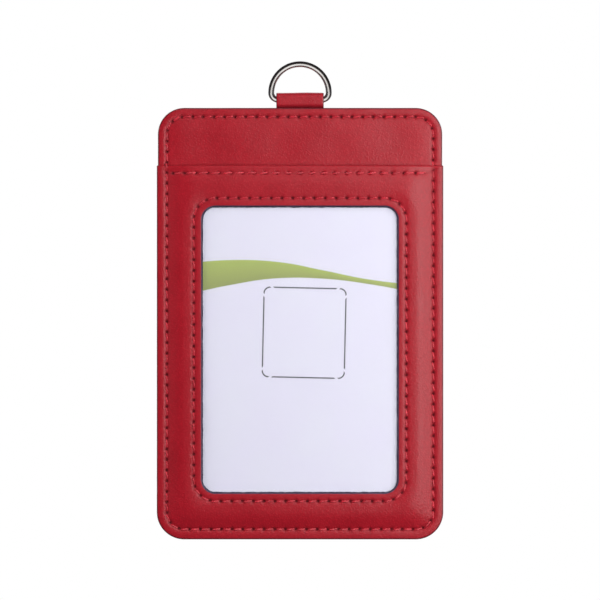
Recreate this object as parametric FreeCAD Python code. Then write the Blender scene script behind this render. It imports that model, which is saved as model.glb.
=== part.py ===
import FreeCAD, Part

# A sewn leather badge holder that hangs from a wire D-ring: two covers laminated on a stiff board,
# a windowed pocket for an identity insert in front, a plain pocket for an access card behind.
#
# Frame, in millimetres: +X to the right as the front is read, +Y towards the back, +Z up.
# The origin is the top of the ring's eye, where a lanyard's clip pulls, so the holder hangs below it.
# A level is a distance from the board's mid-plane: the front is at y = -level, the back at y = +level.

import math
import os

Vector = FreeCAD.Vector
FRONT = -1
BACK = 1

# ---- driving dimensions ----------------------------------------------------------------------

# the card that the back pocket is made for
card_width = 53.98
card_length = 85.6
card_thickness = 0.76
card_radius = 3.18
card_proud = 9.2
card_side_play = 2.91
card_sink_room = 5.1

# laminated body
corner_radius = 7.0
board_thickness = 0.9
board_inset = 0.4
cover_leather = 0.65
cover_edge_round = 0.2

# pockets
panel_leather = 0.65
panel_overhang = 0.25
mouth_drop = 15.2
flange_width = 3.6
rise_width = 4.0
hem_height = 5.2
hem_thickness = 0.3
slide_clearance = 0.08

# window
rail_width = 11.55
header_height = 10.7
sill_height = 11.9
window_radius = 3.7
film_thickness = 0.2
film_clearance = 0.25

# seams
seam_inset = 2.4
seam_pitch = 2.8
mouth_seam_drop = 2.1
mouth_pitch = 3.25
window_seam_inset = 2.0
window_pitch = 2.85
stitch_gap = 0.75
stitch_width = 0.5
needle_height = 0.2
bobbin_height = 0.1
channel_play = 0.1

# D-ring and the strip that holds it
wire_diameter = 1.6
ring_width = 16.8
ring_corner_radius = 1.8
ring_butt_gap = 0.1
ring_lift = 2.2
loop_leather = 0.4
loop_clearance = 0.05
loop_slack = 0.6
loop_side_play = 0.55
tail_length = 8.0
tail_gap = 0.04
tail_play = 0.03
notch_clearance = 0.2

# printed insert, and the card's contact plate
insert_thickness = 0.3
insert_radius = 3.0
insert_sink = 2.6
chip_width = 11.8
chip_height = 13.0
chip_depth = 0.3
chip_radius = 1.6
chip_from_end = 16.0
chip_offset = 3.0

# ---- derived places --------------------------------------------------------------------------

# ring: its bar lies low in the loop, and its corners start to bend just inside the loop's ends
wire_radius = wire_diameter / 2
arch_radius = ring_width / 2 - wire_radius
bar_half = arch_radius - ring_corner_radius
bar_z = wire_radius - arch_radius - ring_corner_radius
loop_width = ring_width - 2 * wire_diameter - 2 * loop_side_play
bend_reach = max(loop_width / 2 - bar_half, 0)
bend_inner = ring_corner_radius - wire_radius
bend_rise = ring_corner_radius - math.sqrt(max(bend_inner**2 - bend_reach**2, 0))
loop_bore = max(wire_radius, bend_rise) + loop_clearance
loop_level = loop_bore + loop_leather
tail_leather = board_thickness / 2 - tail_gap / 2 - tail_play

# heights: the pockets take the whole card and a little more
body_top = bar_z - ring_lift
mouth_z = body_top - mouth_drop
hem_bottom = mouth_z - hem_height
bed_bottom = mouth_z - card_length - card_sink_room
rim_bottom = bed_bottom - rise_width
body_bottom = rim_bottom - flange_width
window_bottom = body_bottom + sill_height
window_top = mouth_z - header_height
clear_above = 2 * mouth_drop
trim_margin = 1.0

# widths, from the card outwards
bed_width = card_width + 2 * card_side_play
rim_width = bed_width + 2 * rise_width
body_width = rim_width + 2 * flange_width
window_width = body_width - 2 * rail_width
bed_radius = corner_radius - flange_width

# levels: what slides out of a pocket has to pass the strip round the ring's bar
cover_level = board_thickness / 2 + cover_leather
flange_level = cover_level + panel_leather
held_level = max(cover_level, loop_level) + slide_clearance
insert_level = held_level + insert_thickness
card_level = held_level + card_thickness
front_field = insert_level + slide_clearance + bobbin_height + max(hem_thickness, film_thickness)
back_field = card_level + slide_clearance + bobbin_height + hem_thickness
front_face = front_field + panel_leather
back_face = back_field + panel_leather


# ---- shapes ----------------------------------------------------------------------------------


def outline(width, low, high, radius, y):
    """Closed wire of an upright rounded rectangle centred on x = 0, in the plane at y."""
    half = width / 2
    short = radius * (1 - math.sqrt(0.5))

    def at(x, z):
        return Vector(x, y, z)

    edges = [
        Part.LineSegment(at(radius - half, low), at(half - radius, low)),
        Part.Arc(at(half - radius, low), at(half - short, low + short), at(half, low + radius)),
        Part.LineSegment(at(half, low + radius), at(half, high - radius)),
        Part.Arc(at(half, high - radius), at(half - short, high - short), at(half - radius, high)),
        Part.LineSegment(at(half - radius, high), at(radius - half, high)),
        Part.Arc(at(radius - half, high), at(short - half, high - short), at(-half, high - radius)),
        Part.LineSegment(at(-half, high - radius), at(-half, low + radius)),
        Part.Arc(at(-half, low + radius), at(short - half, low + short), at(radius - half, low)),
    ]
    return Part.Wire([edge.toShape() for edge in edges])


def sheet(width, low, high, radius, side, inner, outer):
    """Flat rounded sheet between two levels on one side of the board."""
    face = Part.Face(outline(width, low, high, radius, side * inner))
    return face.extrude(Vector(0, side * (outer - inner), 0))


def slab(width, low, high, side, inner, outer):
    """Plain block between two levels, used to trim sheets."""
    y_low, y_high = sorted((side * inner, side * outer))
    corner = Vector(-width / 2, y_low, low)
    return Part.makeBox(width, y_high - y_low, high - low, corner)


def round_outer_edges(solid, side, level, radius):
    """Rounds every edge of a sheet that lies in its outer face."""
    edges = [
        edge
        for edge in solid.Edges
        if all(abs(vertex.Y - side * level) < 1e-6 for vertex in edge.Vertexes)
    ]
    return solid.makeFillet(radius, edges)


def dish(side, base, crown):
    """Shallow raised bed of a pocket: sloped on three sides, and run out above the mouth."""
    high = body_top + clear_above
    rim = outline(rim_width, rim_bottom, high, bed_radius, side * base)
    bed = outline(bed_width, bed_bottom, high, bed_radius, side * crown)
    return Part.makeLoft([rim, bed], True, True)


def pocket_panel(side, field):
    """Panel of a pocket: sewn flat round its edge, raised inside it, with a turned hem at the mouth."""
    width = body_width + 2 * panel_overhang
    radius = corner_radius + panel_overhang
    low = body_bottom - panel_overhang
    blank = sheet(width, low, body_top + clear_above, radius, side, cover_level, flange_level)
    hollow = dish(side, cover_level, field)
    turned = slab(width, hem_bottom, mouth_z, side, field - hem_thickness, field)
    panel = blank.fuse(dish(side, flange_level, field + panel_leather)).cut(hollow)
    panel = panel.common(slab(2 * width, low - trim_margin, mouth_z, side, 0, 2 * (field + panel_leather)))
    return panel.fuse(turned.common(hollow)).removeSplitter()


def straight_places(half_run, z, pitch):
    """Middle and direction of each stitch of a level row from -half_run to half_run."""
    count = round(2 * half_run / pitch)
    step = 2 * half_run / count
    return [(-half_run + step * (i + 0.5), z, 0.0) for i in range(count)], step


def round_places(width, low, high, radius, pitch):
    """Middle and direction of each stitch of a row that runs round a rounded rectangle."""
    half = width / 2
    turn = math.pi / 2 * radius
    runs = (width - 2 * radius, high - low - 2 * radius)
    corners = (
        (half - radius, low + radius),
        (half - radius, high - radius),
        (radius - half, high - radius),
        (radius - half, low + radius),
    )
    total = 2 * sum(runs) + 4 * turn
    count = round(total / pitch)
    step = total / count
    places = []
    for i in range(count):
        along = step * (i + 0.5)
        quarter = 0
        while along > runs[quarter % 2] + turn:
            along -= runs[quarter % 2] + turn
            quarter += 1
        run = runs[quarter % 2]
        heading = quarter * math.pi / 2
        centre_x, centre_z = corners[quarter]
        back_up = max(run - along, 0)
        swing = max(along - run, 0) / radius
        heading += swing
        x = centre_x + radius * math.sin(heading) - back_up * math.cos(heading)
        z = centre_z - radius * math.cos(heading) - back_up * math.sin(heading)
        places.append((x, z, heading))
    return places, step


def stitch(place, length, side, inner, outer):
    """One stitch: a short flat bar of thread with round ends, between two levels."""
    x, z, heading = place
    reach = length / 2 - stitch_width / 2
    radius = stitch_width / 2
    along = Vector(math.cos(heading), 0, math.sin(heading))
    across = Vector(-math.sin(heading), 0, math.cos(heading))
    middle = Vector(x, side * inner, z)
    fore, aft = middle + along * reach, middle - along * reach
    edges = [
        Part.LineSegment(aft - across * radius, fore - across * radius),
        Part.Arc(fore - across * radius, fore + along * radius, fore + across * radius),
        Part.LineSegment(fore + across * radius, aft + across * radius),
        Part.Arc(aft + across * radius, aft - along * radius, aft - across * radius),
    ]
    face = Part.Face(Part.Wire([edge.toShape() for edge in edges]))
    return face.extrude(Vector(0, side * (outer - inner), 0))


def thread(row, side, inner, outer):
    """All the stitches of one row that show on one face."""
    places, step = row
    return Part.makeCompound([stitch(p, step - stitch_gap, side, inner, outer) for p in places])


def perimeter_thread(side):
    """The seam round the body: it lies on the cover above the mouth and on the panel's flange below it."""
    places, step = perimeter_row
    length = step - stitch_gap
    bars = []
    for place in places:
        reach = length / 2 * abs(math.sin(place[2]))
        level = cover_level if place[1] - reach > mouth_z else flange_level
        bars.append(stitch(place, length, side, level, level + needle_height))
    return Part.makeCompound(bars)


# ---- rows of stitches ------------------------------------------------------------------------

perimeter_row = round_places(
    body_width - 2 * seam_inset,
    body_bottom + seam_inset,
    body_top - seam_inset,
    corner_radius - seam_inset,
    seam_pitch,
)
mouth_row = straight_places(bed_width / 2, mouth_z - mouth_seam_drop, mouth_pitch)
window_row = round_places(
    window_width + 2 * window_seam_inset,
    window_bottom - window_seam_inset,
    window_top + window_seam_inset,
    window_radius + window_seam_inset,
    window_pitch,
)


# ---- pieces ----------------------------------------------------------------------------------


def make_cover(side):
    """One of the two full-size leather covers."""
    inner = board_thickness / 2
    blank = sheet(body_width, body_bottom, body_top, corner_radius, side, inner, cover_level)
    return round_outer_edges(blank, side, cover_level, cover_edge_round)


def make_board():
    """Stiffener laminated between the covers, notched at the top for the strip's two tails."""
    half = board_thickness / 2
    width = body_width - 2 * board_inset
    low, high = body_bottom + board_inset, body_top - board_inset
    blank = sheet(width, low, high, corner_radius - board_inset, BACK, -half, half)
    notch_low = body_top - tail_length - notch_clearance
    notch_width = loop_width + 2 * notch_clearance
    return blank.cut(slab(notch_width, notch_low, body_top, BACK, -board_thickness, board_thickness))


def window_sheet(reach, inner, outer):
    """The window's outline grown by a reach, between two levels."""
    low, high = window_bottom - reach, window_top + reach
    return sheet(window_width + 2 * reach, low, high, window_radius + reach, FRONT, inner, outer)


def window_groove():
    """Groove that the seam round the window is pulled down into."""
    half = stitch_width / 2 + channel_play
    floor, over = front_face - needle_height, front_face + needle_height
    wide = window_sheet(window_seam_inset + half, floor, over)
    return wide.cut(window_sheet(window_seam_inset - half, floor, over))


def mouth_groove(side, face):
    """Groove that the seam across a pocket's mouth is pulled down into."""
    half = stitch_width / 2 + channel_play
    z = mouth_z - mouth_seam_drop
    return slab(2 * body_width, z - half, z + half, side, face - needle_height, face + needle_height)


def make_front_panel():
    """Front pocket panel, with the window that shows the insert."""
    panel = pocket_panel(FRONT, front_field).cut(window_sheet(0, cover_level, 2 * front_face))
    return panel.cut(window_groove()).cut(mouth_groove(FRONT, front_face))


def make_back_panel():
    """Back pocket panel, plain below its mouth."""
    return pocket_panel(BACK, back_field).cut(mouth_groove(BACK, back_face))


def make_film():
    """Clear window film behind the front panel, filling the flat bed below the hem."""
    width = bed_width - 2 * film_clearance
    low, high = bed_bottom + film_clearance, hem_bottom - film_clearance
    radius = bed_radius - film_clearance
    return sheet(width, low, high, radius, FRONT, front_field - film_thickness, front_field)


def make_ring():
    """D-ring bent from round wire: flat bar, tight corners, round arch, butted mid-bar."""
    bend = ring_corner_radius * math.sqrt(0.5)
    straight = bar_half
    centre_z = bar_z + ring_corner_radius

    def at(x, z):
        return Vector(x, 0, z)

    edges = [
        Part.LineSegment(at(ring_butt_gap / 2, bar_z), at(straight, bar_z)),
        Part.Arc(at(straight, bar_z), at(straight + bend, centre_z - bend), at(arch_radius, centre_z)),
        Part.Arc(at(arch_radius, centre_z), at(0, centre_z + arch_radius), at(-arch_radius, centre_z)),
        Part.Arc(at(-arch_radius, centre_z), at(-straight - bend, centre_z - bend), at(-straight, bar_z)),
        Part.LineSegment(at(-straight, bar_z), at(-ring_butt_gap / 2, bar_z)),
    ]
    path = Part.Wire([edge.toShape() for edge in edges])
    section = Part.Wire(Part.makeCircle(wire_radius, at(ring_butt_gap / 2, bar_z), Vector(1, 0, 0)))
    return path.makePipeShell([section], True, True)


def loop_face(half_tail, half_loop, foot):
    """Filled profile of the folded strip: tails up from foot, then out and round the ring's bar."""
    crown_z = bar_z + loop_slack
    shoulder_z = bar_z - wire_radius

    def at(y, z):
        return Vector(-loop_width / 2, y, z)

    edges = [
        Part.LineSegment(at(-half_tail, foot), at(half_tail, foot)),
        Part.LineSegment(at(half_tail, foot), at(half_tail, body_top)),
        Part.LineSegment(at(half_tail, body_top), at(half_loop, shoulder_z)),
        Part.LineSegment(at(half_loop, shoulder_z), at(half_loop, crown_z)),
        Part.Arc(at(half_loop, crown_z), at(0, crown_z + half_loop), at(-half_loop, crown_z)),
        Part.LineSegment(at(-half_loop, crown_z), at(-half_loop, shoulder_z)),
        Part.LineSegment(at(-half_loop, shoulder_z), at(-half_tail, body_top)),
        Part.LineSegment(at(-half_tail, body_top), at(-half_tail, foot)),
    ]
    return Part.Face(Part.Wire([edge.toShape() for edge in edges]))


def make_loop():
    """Strip folded over the ring's bar, its two tails laid together between the covers."""
    along = Vector(loop_width, 0, 0)
    foot = body_top - tail_length
    outside = loop_face(tail_gap / 2 + tail_leather, loop_level, foot).extrude(along)
    inside = loop_face(tail_gap / 2, loop_bore, foot - trim_margin).extrude(along)
    return outside.cut(inside)


def make_insert():
    """Printed identity insert, standing where the front pocket narrows towards its bottom seam."""
    share = (insert_level - cover_level) / (front_field - cover_level)
    low = rim_bottom + rise_width * share + slide_clearance
    high = mouth_z - insert_sink
    return sheet(bed_width, low, high, insert_radius, FRONT, held_level, insert_level)


def chip_sheet(inner, outer):
    """The contact plate's outline in the card's outer face, between two levels."""
    middle = mouth_z + card_proud - card_length + chip_from_end
    low, high = middle - chip_height / 2, middle + chip_height / 2
    plate = sheet(chip_width, low, high, chip_radius, BACK, inner, outer)
    plate.translate(Vector(chip_offset, 0, 0))
    return plate


def make_card():
    """Access card, standing a little proud of the back pocket's mouth, with a bed for its contact plate."""
    high = mouth_z + card_proud
    low = high - card_length
    blank = sheet(card_width, low, high, card_radius, BACK, held_level, card_level)
    return blank.cut(chip_sheet(card_level - chip_depth, card_level + chip_depth))


def make_chip():
    """Contact plate, flush with the card's outer face."""
    return chip_sheet(card_level - chip_depth, card_level)


def main():
    front_hem = front_field - hem_thickness
    back_hem = back_field - hem_thickness
    film_back = front_field - film_thickness
    pieces = {
        "d_ring": make_ring(),
        "ring_loop": make_loop(),
        "front_cover": make_cover(FRONT),
        "stiffener_board": make_board(),
        "back_cover": make_cover(BACK),
        "front_pocket_panel": make_front_panel(),
        "window_film": make_film(),
        "back_pocket_panel": make_back_panel(),
        "perimeter_needle_thread": perimeter_thread(FRONT),
        "perimeter_bobbin_thread": perimeter_thread(BACK),
        "window_needle_thread": thread(window_row, FRONT, front_face - needle_height, front_face),
        "window_bobbin_thread": thread(window_row, FRONT, film_back - bobbin_height, film_back),
        "front_mouth_needle_thread": thread(mouth_row, FRONT, front_face - needle_height, front_face),
        "front_mouth_bobbin_thread": thread(mouth_row, FRONT, front_hem - bobbin_height, front_hem),
        "back_mouth_needle_thread": thread(mouth_row, BACK, back_face - needle_height, back_face),
        "back_mouth_bobbin_thread": thread(mouth_row, BACK, back_hem - bobbin_height, back_hem),
        "id_insert": make_insert(),
        "access_card": make_card(),
        "card_chip": make_chip(),
    }
    os.makedirs("parts", exist_ok=True)
    for name, shape in pieces.items():
        shape.exportStep(f"parts/{name}.step")
        box = shape.BoundBox
        print(
            f"{name:28s} solids {len(shape.Solids):3d} valid {shape.isValid()} volume {shape.Volume:9.2f}"
            f" x {box.XMin:7.2f} {box.XMax:7.2f} y {box.YMin:6.2f} {box.YMax:6.2f}"
            f" z {box.ZMin:8.2f} {box.ZMax:7.2f}"
        )


main()
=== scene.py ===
"""A stitched leather badge holder on its D-ring, built as looks around a fixed mechanical frame.

Everything is in metres, in the frame's own axes: +X to the right as the front is read, +Y towards
the back, +Z up. A level is a distance from the holder's mid-plane: the front is at y = -level, the
back at y = +level.
"""

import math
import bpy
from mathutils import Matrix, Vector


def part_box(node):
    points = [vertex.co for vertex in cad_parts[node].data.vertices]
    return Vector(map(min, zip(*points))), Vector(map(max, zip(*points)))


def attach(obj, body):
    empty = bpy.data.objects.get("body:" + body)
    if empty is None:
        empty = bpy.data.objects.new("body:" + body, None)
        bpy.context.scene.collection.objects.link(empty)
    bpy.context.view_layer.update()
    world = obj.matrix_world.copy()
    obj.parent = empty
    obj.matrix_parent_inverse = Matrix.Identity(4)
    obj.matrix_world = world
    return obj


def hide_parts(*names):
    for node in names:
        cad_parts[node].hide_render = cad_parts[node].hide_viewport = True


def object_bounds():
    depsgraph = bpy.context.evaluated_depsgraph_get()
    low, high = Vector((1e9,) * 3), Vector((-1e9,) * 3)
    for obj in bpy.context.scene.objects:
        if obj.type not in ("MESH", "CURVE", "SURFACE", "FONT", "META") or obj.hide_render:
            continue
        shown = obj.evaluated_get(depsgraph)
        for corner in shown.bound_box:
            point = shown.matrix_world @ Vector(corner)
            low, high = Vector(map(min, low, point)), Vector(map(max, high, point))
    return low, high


bl_info = {
    "name": "Leather badge holder",
    "version": (1, 0, 0),
    "blender": (4, 5, 0),
    "location": "3D View > Sidebar > Badge holder",
    "description": "Builds a stitched leather badge holder, its ring, insert and card around a fixed frame",
    "category": "Add Mesh",
}

import bmesh
import bpy
import numpy as np
from bpy.props import FloatProperty, FloatVectorProperty, IntProperty, PointerProperty
from mathutils import Vector, noise

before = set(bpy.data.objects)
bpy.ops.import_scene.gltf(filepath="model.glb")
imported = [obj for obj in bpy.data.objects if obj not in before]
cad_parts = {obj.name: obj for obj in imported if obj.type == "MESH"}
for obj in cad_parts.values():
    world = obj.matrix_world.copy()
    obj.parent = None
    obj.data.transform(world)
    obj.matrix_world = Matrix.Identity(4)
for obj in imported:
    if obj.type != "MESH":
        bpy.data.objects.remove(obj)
CAD_BOX = [list(corner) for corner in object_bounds()]

MM = 0.001
FRONT, BACK = -1, 1
SIDE_NAME = {FRONT: "front", BACK: "back"}

# ---- places read from the frame --------------------------------------------------------------

COVER_LOW, COVER_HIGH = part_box("front_cover")
BOARD_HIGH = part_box("stiffener_board")[1]
PANEL_LOW, PANEL_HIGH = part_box("front_pocket_panel")
BACK_PANEL_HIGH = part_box("back_pocket_panel")[1]
FILM_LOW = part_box("window_film")[0]
CARD_LOW, CARD_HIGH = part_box("access_card")
CHIP_LOW, CHIP_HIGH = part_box("card_chip")
RING_LOW, RING_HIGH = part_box("d_ring")
LOOP_LOW, LOOP_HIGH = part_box("ring_loop")

BODY_HALF, BODY_LOW, BODY_HIGH = COVER_HIGH.x, COVER_LOW.z, COVER_HIGH.z
PANEL_HALF, PANEL_FOOT, MOUTH = PANEL_HIGH.x, PANEL_LOW.z, PANEL_HIGH.z
BOARD_LEVEL = BOARD_HIGH.y
COVER_LEVEL = -COVER_LOW.y
PANEL_LEATHER = COVER_LEVEL - BOARD_LEVEL
FLANGE_LEVEL = COVER_LEVEL + PANEL_LEATHER
FACE_LEVEL = {FRONT: -PANEL_LOW.y, BACK: BACK_PANEL_HIGH.y}


def linear(code):
    """An sRGB hex colour as linear RGBA."""
    shares = [int(code[i : i + 2], 16) / 255 for i in (1, 3, 5)]
    return [s / 12.92 if s <= 0.04045 else ((s + 0.055) / 1.055) ** 2.4 for s in shares] + [1.0]


def length_property(name, description, millimetres):
    """A size that a user can change, given in millimetres and kept in metres."""
    return FloatProperty(
        name=name, description=description, default=millimetres * MM, unit="LENGTH", precision=5
    )


def colour_property(name, description, code):
    """A colour that a user can change."""
    return FloatVectorProperty(
        name=name, description=description, default=linear(code), size=4, subtype="COLOR", min=0, max=1
    )


# ---- sizes and colours -----------------------------------------------------------------------


class BadgeLeather(bpy.types.PropertyGroup):
    """The covers and pocket panels."""

    corner: length_property("Corner", "Radius of the body's corners", 7.0)
    puff: length_property("Puff", "How far the leather swells between its seams", 0.3)
    crown: length_property("Margin crown", "How far the margin outside the seam swells", 0.13)
    rise: length_property("Rise", "Width of the slope from the seam up to the pocket's face", 6.6)
    edge_round: length_property("Edge rounding", "Radius of the painted edges", 0.28)
    fold_round: length_property("Fold rounding", "Radius of the turned edge at the mouths", 0.5)
    hem: length_property("Hem", "Height of the turned hem at the mouths", 5.2)
    groove: length_property("Groove", "How deep a seam pulls the leather in", 0.11)
    groove_width: length_property("Groove width", "Half-width of that groove", 0.5)
    hole: length_property("Needle hole", "Radius of a needle hole", 0.42)
    hole_depth: length_property("Hole depth", "Depth of a needle hole", 0.32)
    grain: length_property("Grain", "Size of one pebble of the printed grain", 0.52)
    colour: colour_property("Leather", "Colour of the coated leather", "#AA1323")
    # painted shade: this colour darkens the needle holes, and together with real burnish the seams' grooves
    burnish_and_shade_colour: colour_property("Burnish", "Colour in grooves and needle holes", "#52030F")
    paint_width: length_property("Painted rim", "Width of the paint that shows on a face", 0.5)
    paint: colour_property("Edge paint", "Colour of the painted edges", "#641320")
    raw: colour_property("Cut edge", "Colour of the unpainted cut round the window", "#2C2638")


class BadgeSeams(bpy.types.PropertyGroup):
    """The rows of stitches."""

    inset: length_property("Inset", "Distance of the outer seam from the body's edge", 2.4)
    pitch: length_property("Pitch", "Length of one stitch of the outer seam", 2.8)
    mouth_drop: length_property("Mouth drop", "Distance of the mouth seam below the mouth", 2.1)
    mouth_pitch: length_property("Mouth pitch", "Length of one stitch of a mouth seam", 3.25)
    mouth_half: length_property("Mouth reach", "Half-length of a mouth seam", 33.4)
    window_inset: length_property("Window inset", "Distance of the window seam from the window", 2.0)
    window_pitch: length_property("Window pitch", "Length of one stitch of the window seam", 2.85)
    thread: length_property("Thread", "Radius of the laid thread", 0.225)
    colour: colour_property("Thread colour", "Colour of the waxed thread", "#C42334")
    seed: IntProperty(name="Seed", description="Seed of the stitches' unevenness", default=7)


class BadgeWindow(bpy.types.PropertyGroup):
    """The window cut in the front pocket."""

    rail: length_property("Rail", "Width of leather beside the window", 11.55)
    header: length_property("Header", "Height of leather above the window", 10.7)
    sill: length_property("Sill", "Height of leather below the window", 11.9)
    corner: length_property("Corner", "Radius of the window's corners", 3.7)


class BadgePrint(bpy.types.PropertyGroup):
    """The printed insert and the access card."""

    paper: colour_property("Paper", "Colour of the insert", "#E4DFF3")
    wave_light: colour_property("Wave, light", "Upper colour of the printed wave", "#A4B52C")
    wave_dark: colour_property("Wave, dark", "Lower colour of the printed wave", "#8B971C")
    outline: colour_property("Outline", "Colour of the printed outline for a portrait", "#24242C")
    card: colour_property("Card", "Ground colour of the access card, on its left", "#2F333C")
    card_far: colour_property("Card, far side", "Ground colour of the access card, on its right", "#353256")
    glow: colour_property("Glow", "Colour of the printed glow", "#3F9C80")
    spark: colour_property("Spark", "Colour at the middle of the printed glow", "#B7CF74")
    patch: colour_property("Patch", "Colour of the printed patch", "#E8930A")
    bars: colour_property("Bars", "Colour of the printed bars", "#D4D4DE")


# ---- small helpers ---------------------------------------------------------------------------


def add(tree, kind, feeds=(), **settings):
    """Adds a node. feeds gives inputs by name or place: a value, a socket, or a node for its first output."""
    made = tree.nodes.new(kind)
    for key, value in settings.items():
        setattr(made, key, value)
    for key, value in feeds.items() if isinstance(feeds, dict) else enumerate(feeds):
        if isinstance(value, bpy.types.Node):
            value = value.outputs[0]
        if isinstance(value, bpy.types.NodeSocket):
            tree.links.new(value, made.inputs[key])
        else:
            made.inputs[key].default_value = value
    return made


def new_material(name):
    """An empty node material and its tree."""
    material = bpy.data.materials.new(name)
    material.use_nodes = True
    material.node_tree.nodes.clear()
    return material, material.node_tree


def finish_material(material, shader):
    """Shows a shader as the material's surface."""
    tree = material.node_tree
    output = add(tree, "ShaderNodeOutputMaterial")
    tree.links.new(shader.outputs[0], output.inputs["Surface"])
    return material


def object_from(name, mesh, material):
    """A smooth-shaded object at the origin for a finished mesh."""
    for face in mesh.polygons:
        face.use_smooth = True
    mesh.materials.clear()
    mesh.materials.append(material)
    piece = bpy.data.objects.new(name, mesh)
    bpy.context.scene.collection.objects.link(piece)
    return piece


def settle(piece, body, slot, *nodes):
    """Gives a finished piece its body and hides the nodes that it stands for. slot is not used."""
    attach(piece, body)
    if nodes:
        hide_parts(*nodes)
    return piece


def tag_points(mesh, tags):
    """Gives a mesh named values, one for each point."""
    for tag, values in tags.items():
        layer = mesh.attributes.new(tag, "FLOAT", "POINT")
        layer.data.foreach_set("value", np.ravel(values).astype(np.float32))


def bridge(work, rows, closed=True, capped=True):
    """Faces between neighbouring rows of points: closed rows run right round, and capped ends are filled."""
    for low, high in zip(rows, rows[1:]):
        for j in range(len(low) if closed else len(low) - 1):
            k = (j + 1) % len(low)
            work.faces.new((low[j], low[k], high[k], high[j]))
    if capped:
        work.faces.new(rows[0])
        work.faces.new(rows[-1])


def mesh_from(work, name, **tags):
    """A plain mesh of the faces made so far, turned outwards. tags gives named values for its points."""
    bmesh.ops.recalc_face_normals(work, faces=work.faces)
    mesh = bpy.data.meshes.new(name)
    work.to_mesh(mesh)
    work.free()
    tag_points(mesh, tags)
    return mesh


def ease(value):
    """Smooth step from 0 to 1 as value goes from 0 to 1."""
    t = np.clip(value, 0, 1)
    return t * t * (3 - 2 * t)


def dip(distance, width):
    """Soft pulse that is 1 at no distance."""
    return np.exp(-((distance / width) ** 2))


def rounding(distance, radius):
    """How far a rounded edge falls at a distance in from the edge."""
    left = radius - np.clip(distance, 0, radius)
    return radius - np.sqrt(radius**2 - left**2)


def wander(x, z, size, seed):
    """Smooth noise from -1 to 1 over a surface, with features of one size."""
    return np.array([noise.noise(Vector((a / size, b / size, seed))) for a, b in zip(x, z)])


def depth_inside(x, z, half, low, high, foot, head):
    """Distance in from a rounded outline, whose lower and upper corners may differ."""
    lower = z < (low + high) / 2
    radius = np.where(lower, foot, head)
    over_x = np.abs(x) - (half - radius)
    over_z = np.where(lower, low + radius - z, z - high + radius)
    beyond = np.hypot(np.maximum(over_x, 0), np.maximum(over_z, 0))
    return radius - beyond - np.minimum(np.maximum(over_x, over_z), 0)


def rounded_outline(half, low, high, foot, head, steps, knots=()):
    """Points (x, z) of a rounded outline, run the same way and in the same number in every ring.

    steps counts the points of the bottom, a corner, a side and the top. knots splits a side's points:
    each gives a height and the share of the side's points that lie below it."""
    bottom, corner, side, top = steps
    turn = np.arange(corner) / corner * math.pi / 2
    shares = np.arange(side) / side
    heights = [low + foot] + [min(max(z, low + foot), high - head) for z, _ in knots] + [high - head]
    climb = np.interp(shares, [0] + [share for _, share in knots] + [1], heights)
    along = 1 - 2 * np.arange(bottom) / bottom
    across = 1 - 2 * np.arange(top) / top
    parts = [
        (-(half - foot) * along, np.full(bottom, low)),
        (half - foot + foot * np.sin(turn), low + foot - foot * np.cos(turn)),
        (np.full(side, half), climb),
        (half - head + head * np.cos(turn), high - head + head * np.sin(turn)),
        ((half - head) * across, np.full(top, high)),
        (head - half - head * np.sin(turn), high - head + head * np.cos(turn)),
        (np.full(side, -half), np.interp(1 - shares, [0] + [s for _, s in knots] + [1], heights)),
        (foot - half - foot * np.cos(turn), low + foot - foot * np.sin(turn)),
    ]
    return np.concatenate([p[0] for p in parts]), np.concatenate([p[1] for p in parts])


def shell(name, rows, material, joined=False, tags=()):
    """A closed mesh from rows of points (x, y, z) that each run right round.

    joined closes the last row on the first. Without it the first and last rows are flattened onto a
    line and are merged there. tags gives named values, one array for each row."""
    count = len(rows[0][0])
    points = np.concatenate([np.stack(row, axis=1) for row in rows])
    faces = []
    for i in range(len(rows) if joined else len(rows) - 1):
        base, above = i * count, (i + 1) % len(rows) * count
        for j in range(count):
            k = (j + 1) % count
            faces.append((base + j, base + k, above + k, above + j))
    mesh = bpy.data.meshes.new(name)
    mesh.from_pydata(points.tolist(), [], faces)
    tag_points(mesh, dict(tags))
    work = bmesh.new()
    work.from_mesh(mesh)
    bmesh.ops.remove_doubles(work, verts=work.verts, dist=0.004 * MM)
    bmesh.ops.dissolve_degenerate(work, edges=work.edges, dist=0.001 * MM)
    bmesh.ops.recalc_face_normals(work, faces=work.faces)
    work.to_mesh(mesh)
    work.free()
    return object_from(name, mesh, material)


def run_lengths(path, cyclic):
    """Length along a path (x, z) up to each point, and the whole length."""
    x, z = path
    if cyclic:
        x, z = np.append(x, x[0]), np.append(z, z[0])
    lengths = np.concatenate([[0], np.cumsum(np.hypot(np.diff(x), np.diff(z)))])
    return x, z, lengths


def spaced(path, cyclic, count, shift):
    """count points along a path, a whole step apart, the first one shift steps in."""
    x, z, lengths = run_lengths(path, cyclic)
    step = lengths[-1] / count
    places = (np.arange(count) + shift) * step
    return np.interp(places, lengths, x), np.interp(places, lengths, z)


# ---- seams -----------------------------------------------------------------------------------

SEAM_STEPS = (300, 30, 400, 300)


def body_outline(inset, steps, knots=()):
    """The body's outline drawn in by an inset."""
    radius = max(bpy.context.scene.badge_leather.corner - inset, 0.02 * MM)
    low, high = BODY_LOW + inset, BODY_HIGH - inset
    return rounded_outline(BODY_HALF - inset, low, high, radius, radius, steps, knots)


def outer_seam():
    """Path of the seam round the body, and its number of stitches."""
    seams = bpy.context.scene.badge_seams
    path = body_outline(seams.inset, SEAM_STEPS)
    return path, round(run_lengths(path, True)[2][-1] / seams.pitch)


def window_box(reach=0.0):
    """Half-width, foot and head of the window, grown by a reach."""
    window = bpy.context.scene.badge_window
    return BODY_HALF - window.rail + reach, BODY_LOW + window.sill - reach, MOUTH - window.header + reach


def window_outline(reach, steps=SEAM_STEPS):
    """The window's outline grown by a reach."""
    radius = max(bpy.context.scene.badge_window.corner + reach, 0.5 * MM)
    return rounded_outline(*window_box(reach), radius, radius, steps)


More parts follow.
